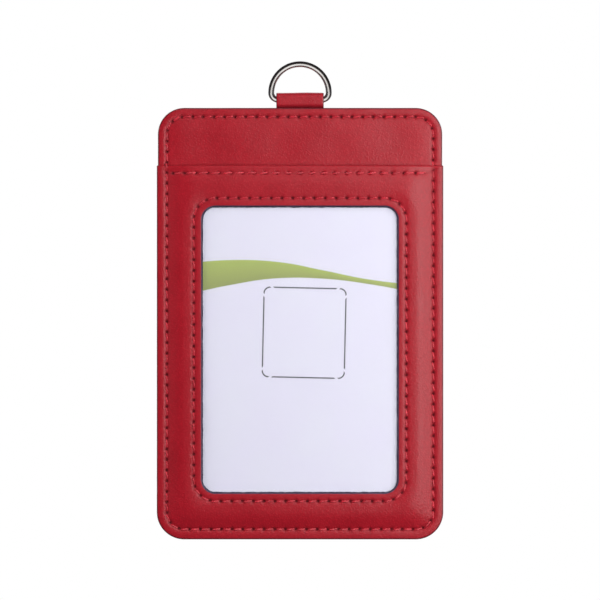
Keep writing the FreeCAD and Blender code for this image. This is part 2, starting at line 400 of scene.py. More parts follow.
def window_seam():
    """Path of the seam round the window, and its number of stitches."""
    seams = bpy.context.scene.badge_seams
    path = window_outline(seams.window_inset)
    return path, round(run_lengths(path, True)[2][-1] / seams.window_pitch)


def mouth_seam():
    """Path of a seam across a pocket's mouth, and its number of stitches."""
    seams = bpy.context.scene.badge_seams
    count = round(2 * seams.mouth_half / seams.mouth_pitch)
    x = np.linspace(-seams.mouth_half, seams.mouth_half, 20 * count + 1)
    return (x, np.full(len(x), MOUTH - seams.mouth_drop)), count


def hole_marks(x, z, rows):
    """How deep each point lies in a needle hole, from 0 to 1."""
    radius = bpy.context.scene.badge_leather.hole
    deepest = np.zeros(len(x))
    for path, cyclic, count in rows:
        hole_x, hole_z = spaced(path, cyclic, count, 0.5 if cyclic else 0.0)
        for a, b in zip(hole_x, hole_z):
            near = (np.abs(x - a) < 3 * radius) & (np.abs(z - b) < 3 * radius)
            away = np.hypot(x[near] - a, z[near] - b)
            deepest[near] = np.maximum(deepest[near], dip(away, radius))
    return deepest


# ---- leather surfaces ------------------------------------------------------------------------


# how full each cover stands above the mouth, and the height of its slow waves: the card lies close to
# the back cover, so that one is flatter
COVER_SWELL = {FRONT: 0.6, BACK: 0.7}
COVER_WAVE = {FRONT: 0.25 * MM, BACK: 0.15 * MM}
# how far from a seam the leather reaches its full swell, on a cover and on a pocket
COVER_SWELL_RUN, POCKET_SWELL_RUN = 4.2 * MM, 3.6 * MM
# how far the turned hem stands out from a pocket's face, and how far it brings in the lining
HEM_OUT, HEM_IN = 0.07 * MM, 0.28 * MM
# how far past its last stitch a mouth seam's groove fades out
GROOVE_PAST = 0.4 * MM
# distances in from a panel's edge, in millimetres, that lie close together over the seam and the painted rim
SEAM_BAND = (
    3.6, 3.3, 3.05, 2.85, 2.7, 2.56, 2.42, 2.28, 2.14, 2.0, 1.84, 1.6, 1.25, 0.85, 0.5, 0.3, 0.16, 0.06, 0,
)
# distances out from the window's cut, in millimetres, close together over the window's seam
WINDOW_BAND = (0, 0.05, 0.12, 0.22, 0.4, 0.7, 1.1, 1.4, 1.62, 1.78, 1.92, 2.06, 2.2, 2.36, 2.6, 3, 3.6)


def body_depth(x, z):
    """Distance in from the body's outline."""
    corner = bpy.context.scene.badge_leather.corner
    return depth_inside(x, z, BODY_HALF, BODY_LOW, BODY_HIGH, corner, corner)


def pocket_depth(x, z):
    """Distance in from the sides and foot of a pocket panel, whose mouth is left open."""
    corner = bpy.context.scene.badge_leather.corner + PANEL_HALF - BODY_HALF
    return depth_inside(x, z, PANEL_HALF, PANEL_FOOT, BODY_HIGH + 4 * corner, corner, corner)


def window_distance(x, z):
    """Distance out from the window's outline."""
    corner = bpy.context.scene.badge_window.corner
    return -depth_inside(x, z, *window_box(), corner, corner)


def cover_level(x, z, side):
    """Level of a cover's outer face: crowned at its margin, drawn in at the seam, full above the mouth."""
    leather, seams = bpy.context.scene.badge_leather, bpy.context.scene.badge_seams
    depth = body_depth(x, z)
    bare = ease((z - MOUTH) / (4 * MM))
    swell = leather.puff * COVER_SWELL[side]
    level = COVER_LEVEL + swell * ease((depth - seams.inset) / COVER_SWELL_RUN) * bare
    level += leather.crown * np.sin(math.pi * np.clip(depth / seams.inset, 0, 1)) * bare
    level -= leather.groove * dip(depth - seams.inset, leather.groove_width)
    level += COVER_WAVE[side] * wander(x, z, 10 * MM, 3 * side) * bare
    return level - rounding(depth, leather.edge_round)


def pocket_slope(x, z):
    """Share of the climb from the flange to the pocket's face, rounded over at the lower corners."""
    leather, seams = bpy.context.scene.badge_leather, bpy.context.scene.badge_seams
    start = seams.inset + PANEL_HALF - BODY_HALF + 0.2 * MM
    edge, beside, below = (
        1 - (1 - np.clip((depth - start) / leather.rise, 0, 1)) ** 1.5
        for depth in (pocket_depth(x, z), PANEL_HALF - np.abs(x), z - PANEL_FOOT)
    )
    return np.minimum(edge, beside * below)


def pocket_level(x, z, side):
    """Level of a pocket panel's outer face, with its seams, hem and soft swell."""
    leather, seams = bpy.context.scene.badge_leather, bpy.context.scene.badge_seams
    depth, drop = pocket_depth(x, z), MOUTH - z
    seam = seams.inset + PANEL_HALF - BODY_HALF
    face = FACE_LEVEL[side] - 0.1 * MM
    level = FLANGE_LEVEL + (face - FLANGE_LEVEL) * pocket_slope(x, z)
    # how far a point lies from the nearest seam, which holds the leather down
    spread = np.minimum(depth - seam, drop - seams.mouth_drop + 0.4 * MM)
    seam_run = ease((seams.mouth_half + GROOVE_PAST - np.abs(x)) / (2 * GROOVE_PAST))
    if side == FRONT:
        out = window_distance(x, z)
        spread = np.minimum(spread, out - seams.window_inset)
        level -= leather.groove * dip(out - seams.window_inset, leather.groove_width)
        level += 0.3 * leather.crown * np.sin(math.pi * np.clip(out / seams.window_inset, 0, 1))
        level -= rounding(out, 0.5 * leather.edge_round)
    level += leather.puff * ease(spread / POCKET_SWELL_RUN)
    level += leather.crown * np.sin(math.pi * np.clip(depth / seam, 0, 1))
    level -= leather.groove * dip(depth - seam, leather.groove_width)
    level -= 0.8 * leather.groove * dip(drop - seams.mouth_drop, leather.groove_width) * seam_run
    # the turned hem stands a little proud, and the whole face waves slowly
    level += HEM_OUT * ease((leather.hem - drop) / (0.9 * MM))
    level += 0.06 * MM * wander(x, z, 14 * MM, 9 + side) * ease(spread / (3 * MM))
    level += 0.02 * MM * wander(x, z, 4 * MM, 19 + side)
    level -= rounding(drop, leather.fold_round)
    return level - rounding(depth, leather.edge_round)


def pocket_lining(x, z, side):
    """Level of a pocket panel's inner face, which the hem brings in at the mouth."""
    leather = bpy.context.scene.badge_leather
    drop = MOUTH - z
    slope = pocket_slope(x, z)
    face = FACE_LEVEL[side] - PANEL_LEATHER
    level = COVER_LEVEL + 0.01 * MM + (face - COVER_LEVEL) * slope
    level -= HEM_IN * ease((leather.hem - drop) / (0.3 * MM)) * ease((slope - 0.8) * 6)
    return level + rounding(drop, 0.3 * MM) * slope


def leather_row(x, z, side, level_at, rows, seam_marks):
    """One row of a leather face: its points, and how much burnish and painted shade each one takes."""
    leather = bpy.context.scene.badge_leather
    holes = hole_marks(x, z, rows)
    level = level_at(x, z, side) - leather.hole_depth * holes
    # the seams' grooves take a little burnish and painted shade, and the needle holes take painted shade in
    # full
    return (x, side * level, z), np.clip(0.2 * seam_marks(x, z) + holes, 0, 1)


def paint_share(depth):
    """How much edge paint covers a face at a distance in from its edge."""
    width = bpy.context.scene.badge_leather.paint_width
    return 1 - ease((depth - 0.3 * width) / (0.7 * width))


def offsets(stops):
    """Distances in from an edge, in metres, from stops in millimetres."""
    return [stop * MM for stop in stops]


def make_cover(side):
    """A full-size cover, detailed above the mouth and plain under the pocket."""
    leather, seams = bpy.context.scene.badge_leather, bpy.context.scene.badge_seams
    # what the pocket hides is plain, and takes three tenths of a side's points
    steps, knots = (60, 20, 120, 320), [(MOUTH - 1 * MM, 0.3)]
    outer = outer_seam()
    rows_of_holes = [(outer[0], True, outer[1])]
    middle = BODY_HALF / MM
    inner_stops = (middle, 33, 28, 23, 19.5, 17, 15.4, 13.8, 12, 10.2, 8.6, 7.2, 6, 5, 4.2)
    rows, pressed, painted = [], [], []

    def groove(x, z):
        return dip(body_depth(x, z) - seams.inset, leather.groove_width)

    for inset in offsets(inner_stops + SEAM_BAND):
        x, z = body_outline(inset, steps, knots)
        row, marks = leather_row(x, z, side, cover_level, rows_of_holes, groove)
        rows.append(row)
        pressed.append(marks)
        painted.append(paint_share(body_depth(x, z)))
    under = ((0.0, BOARD_LEVEL + 0.05 * MM), (0.06 * MM, BOARD_LEVEL), (BODY_HALF, BOARD_LEVEL))
    for inset, level in under:
        x, z = body_outline(inset, steps, knots)
        rows.append((x, np.full(len(x), side * level), z))
        pressed.append(np.zeros(len(x)))
        painted.append(np.ones(len(x)))
    name, tags = SIDE_NAME[side] + "_cover_leather", {"pressed": pressed, "painted": painted}
    piece = shell(name, rows, bpy.data.materials["coated_leather"], tags=tags)
    return settle(piece, "holder", "leather", SIDE_NAME[side] + "_cover")


def make_pocket(side):
    """A pocket panel: the front one runs from the window's edge outwards, the back one from its middle."""
    leather, seams = bpy.context.scene.badge_leather, bpy.context.scene.badge_seams
    steps = (290, 24, 390, 290)
    outer, mouth, window = outer_seam(), mouth_seam(), window_seam()
    rows_of_holes = [(outer[0], True, outer[1]), (mouth[0], False, mouth[1] + 1)]
    seam = seams.inset + PANEL_HALF - BODY_HALF
    if side == FRONT:
        rows_of_holes.append((window[0], True, window[1]))
    rows, pressed, painted, cut = [], [], [], []

    def outline(inset):
        foot = max(leather.corner + PANEL_HALF - BODY_HALF - inset, 0.02 * MM)
        head = min(0.35 * MM + 0.9 * inset, PANEL_HALF - inset)
        low, high = PANEL_FOOT + inset, MOUTH - inset
        return rounded_outline(PANEL_HALF - inset, low, high, foot, head, steps)

    def grooves(x, z):
        marks = dip(pocket_depth(x, z) - seam, leather.groove_width)
        marks = np.maximum(marks, dip(MOUTH - z - seams.mouth_drop, 0.8 * leather.groove_width))
        if side == FRONT:
            near = dip(window_distance(x, z) - seams.window_inset, leather.groove_width)
            marks = np.maximum(marks, near)
        return marks

    def lay(x, z, lining=False):
        if lining:
            rows.append((x, side * pocket_lining(x, z, side), z))
            pressed.append(np.zeros(len(x)))
        else:
            row, marks = leather_row(x, z, side, pocket_level, rows_of_holes, grooves)
            rows.append(row)
            pressed.append(marks)
        painted.append(paint_share(pocket_depth(x, z)))
        cut.append((1 - ease(window_distance(x, z) / (0.14 * MM))) * (side == FRONT))

    def frayed(reach, wear):
        """The window's outline grown by a reach, with the uneven wear of its cut."""
        x, z = window_outline(reach, steps)
        out_x, out_z = window_outline(reach + MM, steps)
        shift = fuzz * wear / MM
        return x + (out_x - x) * shift, z + (out_z - z) * shift

    far_out = offsets((6.8, 6.1, 5.4, 4.8, 4.3, 3.9))
    if side == FRONT:
        x, z = window_outline(0, steps)
        fuzz = 0.05 * MM * wander(x, z, 0.7 * MM, 4) + 0.05 * MM * wander(x, z, 2.3 * MM, 5)
        for reach in offsets(WINDOW_BAND):
            lay(*frayed(reach, 1 - ease(reach / (1 * MM))))
        near_x, near_z = window_outline(offsets(WINDOW_BAND)[-1], steps)
        far_x, far_z = outline(far_out[0])
        for share in (0.25, 0.5, 0.75):
            lay(near_x + (far_x - near_x) * share, near_z + (far_z - near_z) * share)
    else:
        middle = PANEL_HALF / MM
        for inset in offsets((middle, 35, 32, 29, 26, 23, 20, 17.5, 15, 13, 11.2, 9.6, 8.2)):
            lay(*outline(inset))
    for inset in far_out + offsets(SEAM_BAND):
        lay(*outline(inset))
    for inset in offsets((0, 0.1, 2.4, 3.4, 4.6, 6.2, 7.5)):
        lay(*outline(inset), lining=True)
    if side == FRONT:
        # the unpainted cut leans in a little, from the worn front down to the film
        film = -FILM_LOW.y
        for reach, wear in ((1.5 * MM, 0), (-0.42 * MM, 1.6)):
            x, z = frayed(reach, wear)
            rows.append((x, np.full(len(x), side * (film + 0.02 * MM)), z))
            pressed.append(np.zeros(len(x)))
            painted.append(np.zeros(len(x)))
            cut.append(np.ones(len(x)))
    else:
        lay(*outline(PANEL_HALF), lining=True)
    name, tags = SIDE_NAME[side] + "_pocket_leather", {"pressed": pressed, "painted": painted, "cut": cut}
    piece = shell(name, rows, bpy.data.materials["coated_leather"], joined=side == FRONT, tags=tags)
    return settle(piece, "holder", "leather", SIDE_NAME[side] + "_pocket_panel")


# ---- materials -------------------------------------------------------------------------------

# almost all of a noise texture lies between these two values
NOISE_SPAN = {"From Min": 0.3, "From Max": 0.7}


def coated_leather():
    """Split leather with a semi-gloss polyurethane skin, printed with fine pebbles.

    The skin gives a broad soft highlight, broken up by the pebbles. The colour is painted darker along
    the seams' grooves, partly burnish and partly painted shade, and in the needle holes, which is painted
    shade. The laminated edge is painted, and the cut round the window is left raw."""
    leather = bpy.context.scene.badge_leather
    material, tree = new_material("coated_leather")
    place = add(tree, "ShaderNodeTexCoord").outputs["Object"]
    clouds = add(
        tree, "ShaderNodeTexNoise", {"Vector": place, "Scale": 1 / (9 * MM), "Detail": 3.0, "Roughness": 0.55}
    )
    speckle = add(
        tree,
        "ShaderNodeTexNoise",
        {"Vector": place, "Scale": 1 / (0.9 * MM), "Detail": 2.0, "Roughness": 0.6},
    )
    warp = add(
        tree, "ShaderNodeTexNoise", {"Vector": place, "Scale": 1 / (2.5 * MM), "Detail": 2.0}
    ).outputs["Color"]
    push = add(tree, "ShaderNodeVectorMath", (warp, (0.5, 0.5, 0.5)), operation="SUBTRACT")
    pushed = add(tree, "ShaderNodeVectorMath", {0: push, "Scale": 0.9 * MM}, operation="SCALE")
    grained = add(tree, "ShaderNodeVectorMath", (place, pushed), operation="ADD")
    # real pebbles are about half this size, which would be too fine to show
    pebbles = add(
        tree,
        "ShaderNodeTexVoronoi",
        {"Vector": grained, "Scale": 1 / leather.grain, "Smoothness": 0.35, "Randomness": 0.95},
        feature="SMOOTH_F1",
    ).outputs["Distance"]
    domes = add(
        tree,
        "ShaderNodeMapRange",
        {0: pebbles, "From Min": 0.62, "From Max": 0.05},
        interpolation_type="SMOOTHSTEP",
    )
    swirl = add(
        tree, "ShaderNodeTexNoise", {"Vector": grained, "Scale": 1 / leather.grain, "Detail": 1.0}
    )
    valleys = add(tree, "ShaderNodeMix", {0: 0.35, 2: domes, 3: swirl})
    pressed = add(tree, "ShaderNodeAttribute", attribute_name="pressed").outputs["Fac"]
    painted = add(tree, "ShaderNodeAttribute", attribute_name="painted").outputs["Fac"]
    cut = add(tree, "ShaderNodeAttribute", attribute_name="cut").outputs["Fac"]

    shade = add(tree, "ShaderNodeMapRange", {0: clouds, **NOISE_SPAN, "To Min": 0.96, "To Max": 1.04})
    fleck = add(tree, "ShaderNodeMapRange", {0: speckle, **NOISE_SPAN, "To Min": 0.93, "To Max": 1.07})
    # painted shade: the colour is darker in the valleys of the grain
    sunk = add(tree, "ShaderNodeMapRange", {0: valleys, "To Min": 0.86, "To Max": 1.04})
    tone = add(tree, "ShaderNodeMath", (shade, fleck), operation="MULTIPLY")
    tone = add(tree, "ShaderNodeMath", (tone, sunk), operation="MULTIPLY")
    skin = add(tree, "ShaderNodeVectorMath", {0: leather.colour[:3], "Scale": tone}, operation="SCALE")
    # painted shade in the needle holes, and burnish with painted shade in the grooves, darken the skin here
    deep = add(tree, "ShaderNodeMath", (pressed, 1.3), operation="POWER")
    fibre = add(tree, "ShaderNodeTexNoise", {"Vector": place, "Scale": 1 / (0.4 * MM), "Detail": 2.0})
    raw = add(
        tree, "ShaderNodeMix", {0: fibre, 6: leather.raw, 7: linear("#574A62")}, data_type="RGBA"
    ).outputs[2]
    for share, colour in ((deep, leather.burnish_and_shade_colour), (painted, leather.paint), (cut, raw)):
        skin = add(tree, "ShaderNodeMix", {0: share, 6: skin, 7: colour}, data_type="RGBA").outputs[2]

    rough = add(tree, "ShaderNodeMapRange", {0: clouds, **NOISE_SPAN, "To Min": 0.36, "To Max": 0.42})
    rough = add(tree, "ShaderNodeMath", {0: cut, 1: 0.4, 2: rough}, operation="MULTIPLY_ADD")
    # bare fibre in the needle holes takes the gloss away
    rough = add(
        tree, "ShaderNodeMath", {0: pressed, 1: 0.6, 2: rough}, operation="MULTIPLY_ADD", use_clamp=True
    )
    bare = add(tree, "ShaderNodeMath", (1.0, painted), operation="SUBTRACT")
    relief = add(tree, "ShaderNodeMath", (valleys, bare), operation="MULTIPLY")
    grain = add(tree, "ShaderNodeBump", {"Strength": 0.6, "Distance": 0.06 * MM, "Height": relief})
    crease = add(
        tree,
        "ShaderNodeTexNoise",
        {"Vector": place, "Scale": 1 / (3.2 * MM), "Detail": 4.0, "Roughness": 0.6},
    )
    bump = add(
        tree, "ShaderNodeBump", {"Strength": 0.35, "Distance": 0.12 * MM, "Height": crease, "Normal": grain}
    )
    shader = add(
        tree,
        "ShaderNodeBsdfPrincipled",
        {
            "Base Color": skin,
            "Roughness": rough,
            "IOR": 1.48,
            "Specular IOR Level": 0.42,
            "Normal": bump,
        },
    )
    return finish_material(material, shader)


def waxed_thread():
    """Bonded polyester thread: smooth, slightly waxy, with a faint sheen from its filaments."""
    seams = bpy.context.scene.badge_seams
    material, tree = new_material("waxed_thread")
    place = add(tree, "ShaderNodeTexCoord").outputs["Object"]
    patch = add(tree, "ShaderNodeTexNoise", {"Vector": place, "Scale": 1 / (2 * MM), "Detail": 2.0})
    tone = add(tree, "ShaderNodeMapRange", {0: patch, **NOISE_SPAN, "To Min": 0.8, "To Max": 1.2})
    colour = add(tree, "ShaderNodeVectorMath", {0: seams.colour[:3], "Scale": tone}, operation="SCALE")
    strands = add(tree, "ShaderNodeTexNoise", {"Vector": place, "Scale": 1 / (0.12 * MM), "Detail": 1.0})
    bump = add(tree, "ShaderNodeBump", {"Strength": 0.3, "Distance": 0.03 * MM, "Height": strands})
    shader = add(
        tree,
        "ShaderNodeBsdfPrincipled",
        {
            "Base Color": colour,
            "Roughness": 0.42,
            "IOR": 1.54,
            "Sheen Weight": 0.1,
            "Sheen Roughness": 0.4,
            "Normal": bump,
        },
    )
    return finish_material(material, shader)


def nickel_plate():
    """Drawn steel wire with bright nickel plate: mirror-like, with faint draw lines that blur it a little.

    The wire's outer side above the corners is painted darker, a painted dark reflection, so that the bright
    reflection stays on its inner side."""
    material, tree = new_material("nickel_plate")
    place = add(tree, "ShaderNodeTexCoord").outputs["Object"]
    haze = add(tree, "ShaderNodeTexNoise", {"Vector": place, "Scale": 1 / (1.5 * MM), "Detail": 3.0})
    rough = add(tree, "ShaderNodeMapRange", {0: haze, **NOISE_SPAN, "To Min": 0.17, "To Max": 0.26})
    tint = add(
        tree, "ShaderNodeMix", {0: haze, 6: linear("#E2DEDA"), 7: linear("#CFCBC6")}, data_type="RGBA"
    ).outputs[2]
    # painted dark reflection: the nickel is tinted dark on the wire's outer side above the corners
    tarnish = add(tree, "ShaderNodeAttribute", attribute_name="tarnish").outputs["Fac"]
    dark_reflection_share = add(tree, "ShaderNodeMath", (tarnish, 0.86), operation="MULTIPLY")
    tint = add(tree, "ShaderNodeMix", {0: dark_reflection_share, 6: tint, 7: linear("#6E5E58")}, data_type="RGBA").outputs[2]
    bump = add(tree, "ShaderNodeBump", {"Strength": 0.1, "Distance": 0.02 * MM, "Height": haze})
    shader = add(
        tree,
        "ShaderNodeBsdfPrincipled",
        {"Base Color": tint, "Metallic": 1.0, "Roughness": rough, "Normal": bump},
    )
    return finish_material(material, shader)


def clear_film():
    """Cast vinyl film: nearly invisible, with a thin gloss that lies in very shallow waves."""
    material, tree = new_material("clear_vinyl")
    place = add(tree, "ShaderNodeTexCoord").outputs["Object"]
    waves = add(tree, "ShaderNodeTexNoise", {"Vector": place, "Scale": 1 / (16 * MM), "Detail": 1.0})
    bump = add(tree, "ShaderNodeBump", {"Strength": 0.3, "Distance": 0.6 * MM, "Height": waves})
    scuff = add(tree, "ShaderNodeTexNoise", {"Vector": place, "Scale": 1 / (5 * MM), "Detail": 4.0})
    rough = add(tree, "ShaderNodeMapRange", {0: scuff, **NOISE_SPAN, "To Min": 0.06, "To Max": 0.16})
    shader = add(
        tree,
        "ShaderNodeBsdfPrincipled",
        {
            "Base Color": linear("#F4F6FF"),
            "Roughness": rough,
            "IOR": 1.53,
            "Alpha": 0.07,
            "Normal": bump,
        },
    )
    return finish_material(material, shader)


def grey_board():
    """Calendered grey board, stained dark red by the edge paint: matt, fibrous and slightly mottled."""
    material, tree = new_material("grey_board")
    place = add(tree, "ShaderNodeTexCoord").outputs["Object"]
    fibre = add(tree, "ShaderNodeTexNoise", {"Vector": place, "Scale": 1 / (0.5 * MM), "Detail": 4.0})
    colour = add(
        tree, "ShaderNodeMix", {0: fibre, 6: linear("#4B2A2C"), 7: linear("#6A4446")}, data_type="RGBA"
    ).outputs[2]
    bump = add(tree, "ShaderNodeBump", {"Strength": 0.4, "Distance": 0.04 * MM, "Height": fibre})
    shader = add(
        tree, "ShaderNodeBsdfPrincipled", {"Base Color": colour, "Roughness": 0.85, "Normal": bump}
    )
    return finish_material(material, shader)


def edge_paint():
    """Acrylic edge paint, burnished: a dark red bead with a soft gloss and small drips."""
    leather = bpy.context.scene.badge_leather
    material, tree = new_material("edge_paint")
    place = add(tree, "ShaderNodeTexCoord").outputs["Object"]
    lumps = add(tree, "ShaderNodeTexNoise", {"Vector": place, "Scale": 1 / (1.6 * MM), "Detail": 3.0})
    tone = add(tree, "ShaderNodeMapRange", {0: lumps, **NOISE_SPAN, "To Min": 0.75, "To Max": 1.2})
    colour = add(tree, "ShaderNodeVectorMath", {0: leather.paint[:3], "Scale": tone}, operation="SCALE")
    bump = add(tree, "ShaderNodeBump", {"Strength": 0.5, "Distance": 0.06 * MM, "Height": lumps})
    shader = add(
        tree,
        "ShaderNodeBsdfPrincipled",
        {"Base Color": colour, "Roughness": 0.5, "Specular IOR Level": 0.25, "Normal": bump},
    )
    return finish_material(material, shader)


def print_ground(tree):
    """Object coordinates, the same in millimetres, and those as three separate sockets."""
    place = add(tree, "ShaderNodeTexCoord").outputs["Object"]
    scaled = add(tree, "ShaderNodeVectorMath", {0: place, "Scale": 1 / MM}, operation="SCALE")
    return place, scaled, add(tree, "ShaderNodeSeparateXYZ", (scaled,)).outputs[:3]


def box_mask(tree, x, z, centre, half, radius, width=None):
    """1 inside a rounded box, or on its outline where a line width is given. All in millimetres."""
    sides = []
    for value, middle, reach in ((x, centre[0], half[0]), (z, centre[1], half[1])):
        off = add(tree, "ShaderNodeMath", (value, middle), operation="SUBTRACT")
        off = add(tree, "ShaderNodeMath", (off,), operation="ABSOLUTE")
        sides.append(add(tree, "ShaderNodeMath", (off, reach - radius), operation="SUBTRACT"))
    over = [add(tree, "ShaderNodeMath", (side, 0.0), operation="MAXIMUM") for side in sides]
    flat = add(tree, "ShaderNodeCombineXYZ", over)
    away = add(tree, "ShaderNodeVectorMath", (flat,), operation="LENGTH").outputs["Value"]
    deep = add(tree, "ShaderNodeMath", sides, operation="MAXIMUM")
    deep = add(tree, "ShaderNodeMath", (deep, 0.0), operation="MINIMUM")
    gap = add(tree, "ShaderNodeMath", (away, deep), operation="ADD")
    gap = add(tree, "ShaderNodeMath", (gap, radius), operation="SUBTRACT")
    if width is None:
        soft = add(tree, "ShaderNodeMapRange", {0: gap, "From Min": 0.06, "From Max": -0.06})
    else:
        line = add(tree, "ShaderNodeMath", (gap,), operation="ABSOLUTE")
        half_line = width / 2
        soft = add(
            tree, "ShaderNodeMapRange", {0: line, "From Min": half_line + 0.05, "From Max": half_line - 0.05}
        )
    return soft, sides


# the printed wave, in millimetres: half its width, the heights that hold it, and the heights of its two
# edges at even steps across the insert
WAVE_HALF = 30.0
WAVE_LOW, WAVE_HIGH = -64.0, -48.0
WAVE_TOP = (-51.9, -50.9, -51.4, -53.6, -56.0, -57.4)
WAVE_FOOT = (-60.2, -57.5, -55.8, -55.9, -57.3, -59.6)
# the insert's thin outline for a portrait, in millimetres: middle, half-sizes, corner radius and line
# width
OUTLINE_MIDDLE = (1.1, -70.1)
OUTLINE_HALF, OUTLINE_ROUND, OUTLINE_LINE = (10.8, 11.8), 1.6, 0.36
OUTLINE_TILT = math.radians(-1.3)
# rounded boxes printed on the card, in millimetres: place across, distance down from the card's top,
# half-sizes and corner radius
CARD_BARS = (
    (16.9, 6.6, (0.9, 2.6), 0.35),
    (13.9, 5.6, (0.55, 3.2), 0.3),
    (0.6, 5.4, (2.9, 0.32), 0.3),
    (0.6, 6.9, (2.9, 0.32), 0.3),
    (0.6, 8.4, (2.9, 0.32), 0.3),
    (-22.6, 6.4, (0.5, 2.4), 0.3),
    (9.0, 40.0, (12.0, 0.5), 0.4),
    (13.0, 43.0, (8.0, 0.5), 0.4),
)
CARD_PATCH = ((-15.6, 7.7, (4.4, 4.4), 1.6),)
CARD_GLOW, CARD_GLOW_HALF = (7.5, 10.5), (11, 8)
CARD_STRIPE = ((-17.0, 42.8, (6.4, 60.0), 0.1),)
CARD_STRIP = ((3.0, 40.0, (5.5, 30.0), 0.6),)
CARD_ROUND = 3.18


def wave_edge(tree, x, heights):
    """Height of one edge of the wave across the insert, in millimetres."""
    share = add(
        tree, "ShaderNodeMapRange", {0: x, "From Min": -WAVE_HALF, "From Max": WAVE_HALF}, clamp=True
    )
    curve = add(tree, "ShaderNodeFloatCurve", {"Value": share})
    points = curve.mapping.curves[0].points
    steps = len(heights) - 1
    spots = [(i / steps, (h - WAVE_LOW) / (WAVE_HIGH - WAVE_LOW)) for i, h in enumerate(heights)]
    points[0].location, points[-1].location = spots[0], spots[-1]
    for spot in spots[1:-1]:
        points.new(*spot)
    curve.mapping.update()
    return add(tree, "ShaderNodeMapRange", {0: curve, "To Min": WAVE_LOW, "To Max": WAVE_HIGH})


def printed_card():
    """Laser-printed satin card: cool white stock with a two-tone wave and a thin outline for a portrait."""
    prints = bpy.context.scene.badge_print
    material, tree = new_material("printed_card_stock")
    place, scaled, (x, _, z) = print_ground(tree)
    top = wave_edge(tree, x, WAVE_TOP)
    foot = wave_edge(tree, x, WAVE_FOOT)
    below = add(tree, "ShaderNodeMath", (top, z), operation="SUBTRACT")
    above = add(tree, "ShaderNodeMath", (z, foot), operation="SUBTRACT")
    within = add(tree, "ShaderNodeMath", (below, above), operation="MINIMUM")
    wave = add(tree, "ShaderNodeMapRange", {0: within, "From Min": -0.05, "From Max": 0.12})
    thick = add(tree, "ShaderNodeMath", (top, foot), operation="SUBTRACT")
    depth = add(tree, "ShaderNodeMath", (below, thick), operation="DIVIDE", use_clamp=True)
    greens = add(
        tree, "ShaderNodeMix", {0: depth, 6: prints.wave_light, 7: prints.wave_dark}, data_type="RGBA"
    ).outputs[2]
    blotch = add(tree, "ShaderNodeTexNoise", {"Vector": place, "Scale": 1 / (14 * MM), "Detail": 2.0})
    stock = add(
        tree, "ShaderNodeMix", {0: blotch, 6: prints.paper, 7: linear("#E6E6F2")}, data_type="RGBA"
    ).outputs[2]
    face = add(tree, "ShaderNodeMix", {0: wave, 6: stock, 7: greens}, data_type="RGBA").outputs[2]

    pivot = (OUTLINE_MIDDLE[0], 0, OUTLINE_MIDDLE[1])
    turned = add(
        tree,
        "ShaderNodeVectorRotate",
        {0: scaled, "Center": pivot, "Angle": OUTLINE_TILT},
        rotation_type="Y_AXIS",
    )
    turned_x, _, turned_z = add(tree, "ShaderNodeSeparateXYZ", (turned,)).outputs[:3]
    line, sides = box_mask(
        tree, turned_x, turned_z, OUTLINE_MIDDLE, OUTLINE_HALF, OUTLINE_ROUND, width=OUTLINE_LINE
    )
    # the outline is broken where each corner begins
    skew = add(tree, "ShaderNodeMath", sides, operation="SUBTRACT")
    skew = add(tree, "ShaderNodeMath", (skew,), operation="ABSOLUTE")
    off_gap = add(tree, "ShaderNodeMath", (skew, 2.1), operation="SUBTRACT")
    off_gap = add(tree, "ShaderNodeMath", (off_gap,), operation="ABSOLUTE")
    solid = add(tree, "ShaderNodeMapRange", {0: off_gap, "From Min": 0.35, "From Max": 0.45})
    line = add(tree, "ShaderNodeMath", (line, solid), operation="MULTIPLY")
    face = add(tree, "ShaderNodeMix", {0: line, 6: face, 7: prints.outline}, data_type="RGBA").outputs[2]
    fibre = add(tree, "ShaderNodeTexNoise", {"Vector": place, "Scale": 1 / (0.6 * MM), "Detail": 3.0})
    bump = add(tree, "ShaderNodeBump", {"Strength": 0.2, "Distance": 0.02 * MM, "Height": fibre})
    shader = add(
        tree, "ShaderNodeBsdfPrincipled", {"Base Color": face, "Roughness": 0.5, "Normal": bump}
    )
    return finish_material(material, shader)


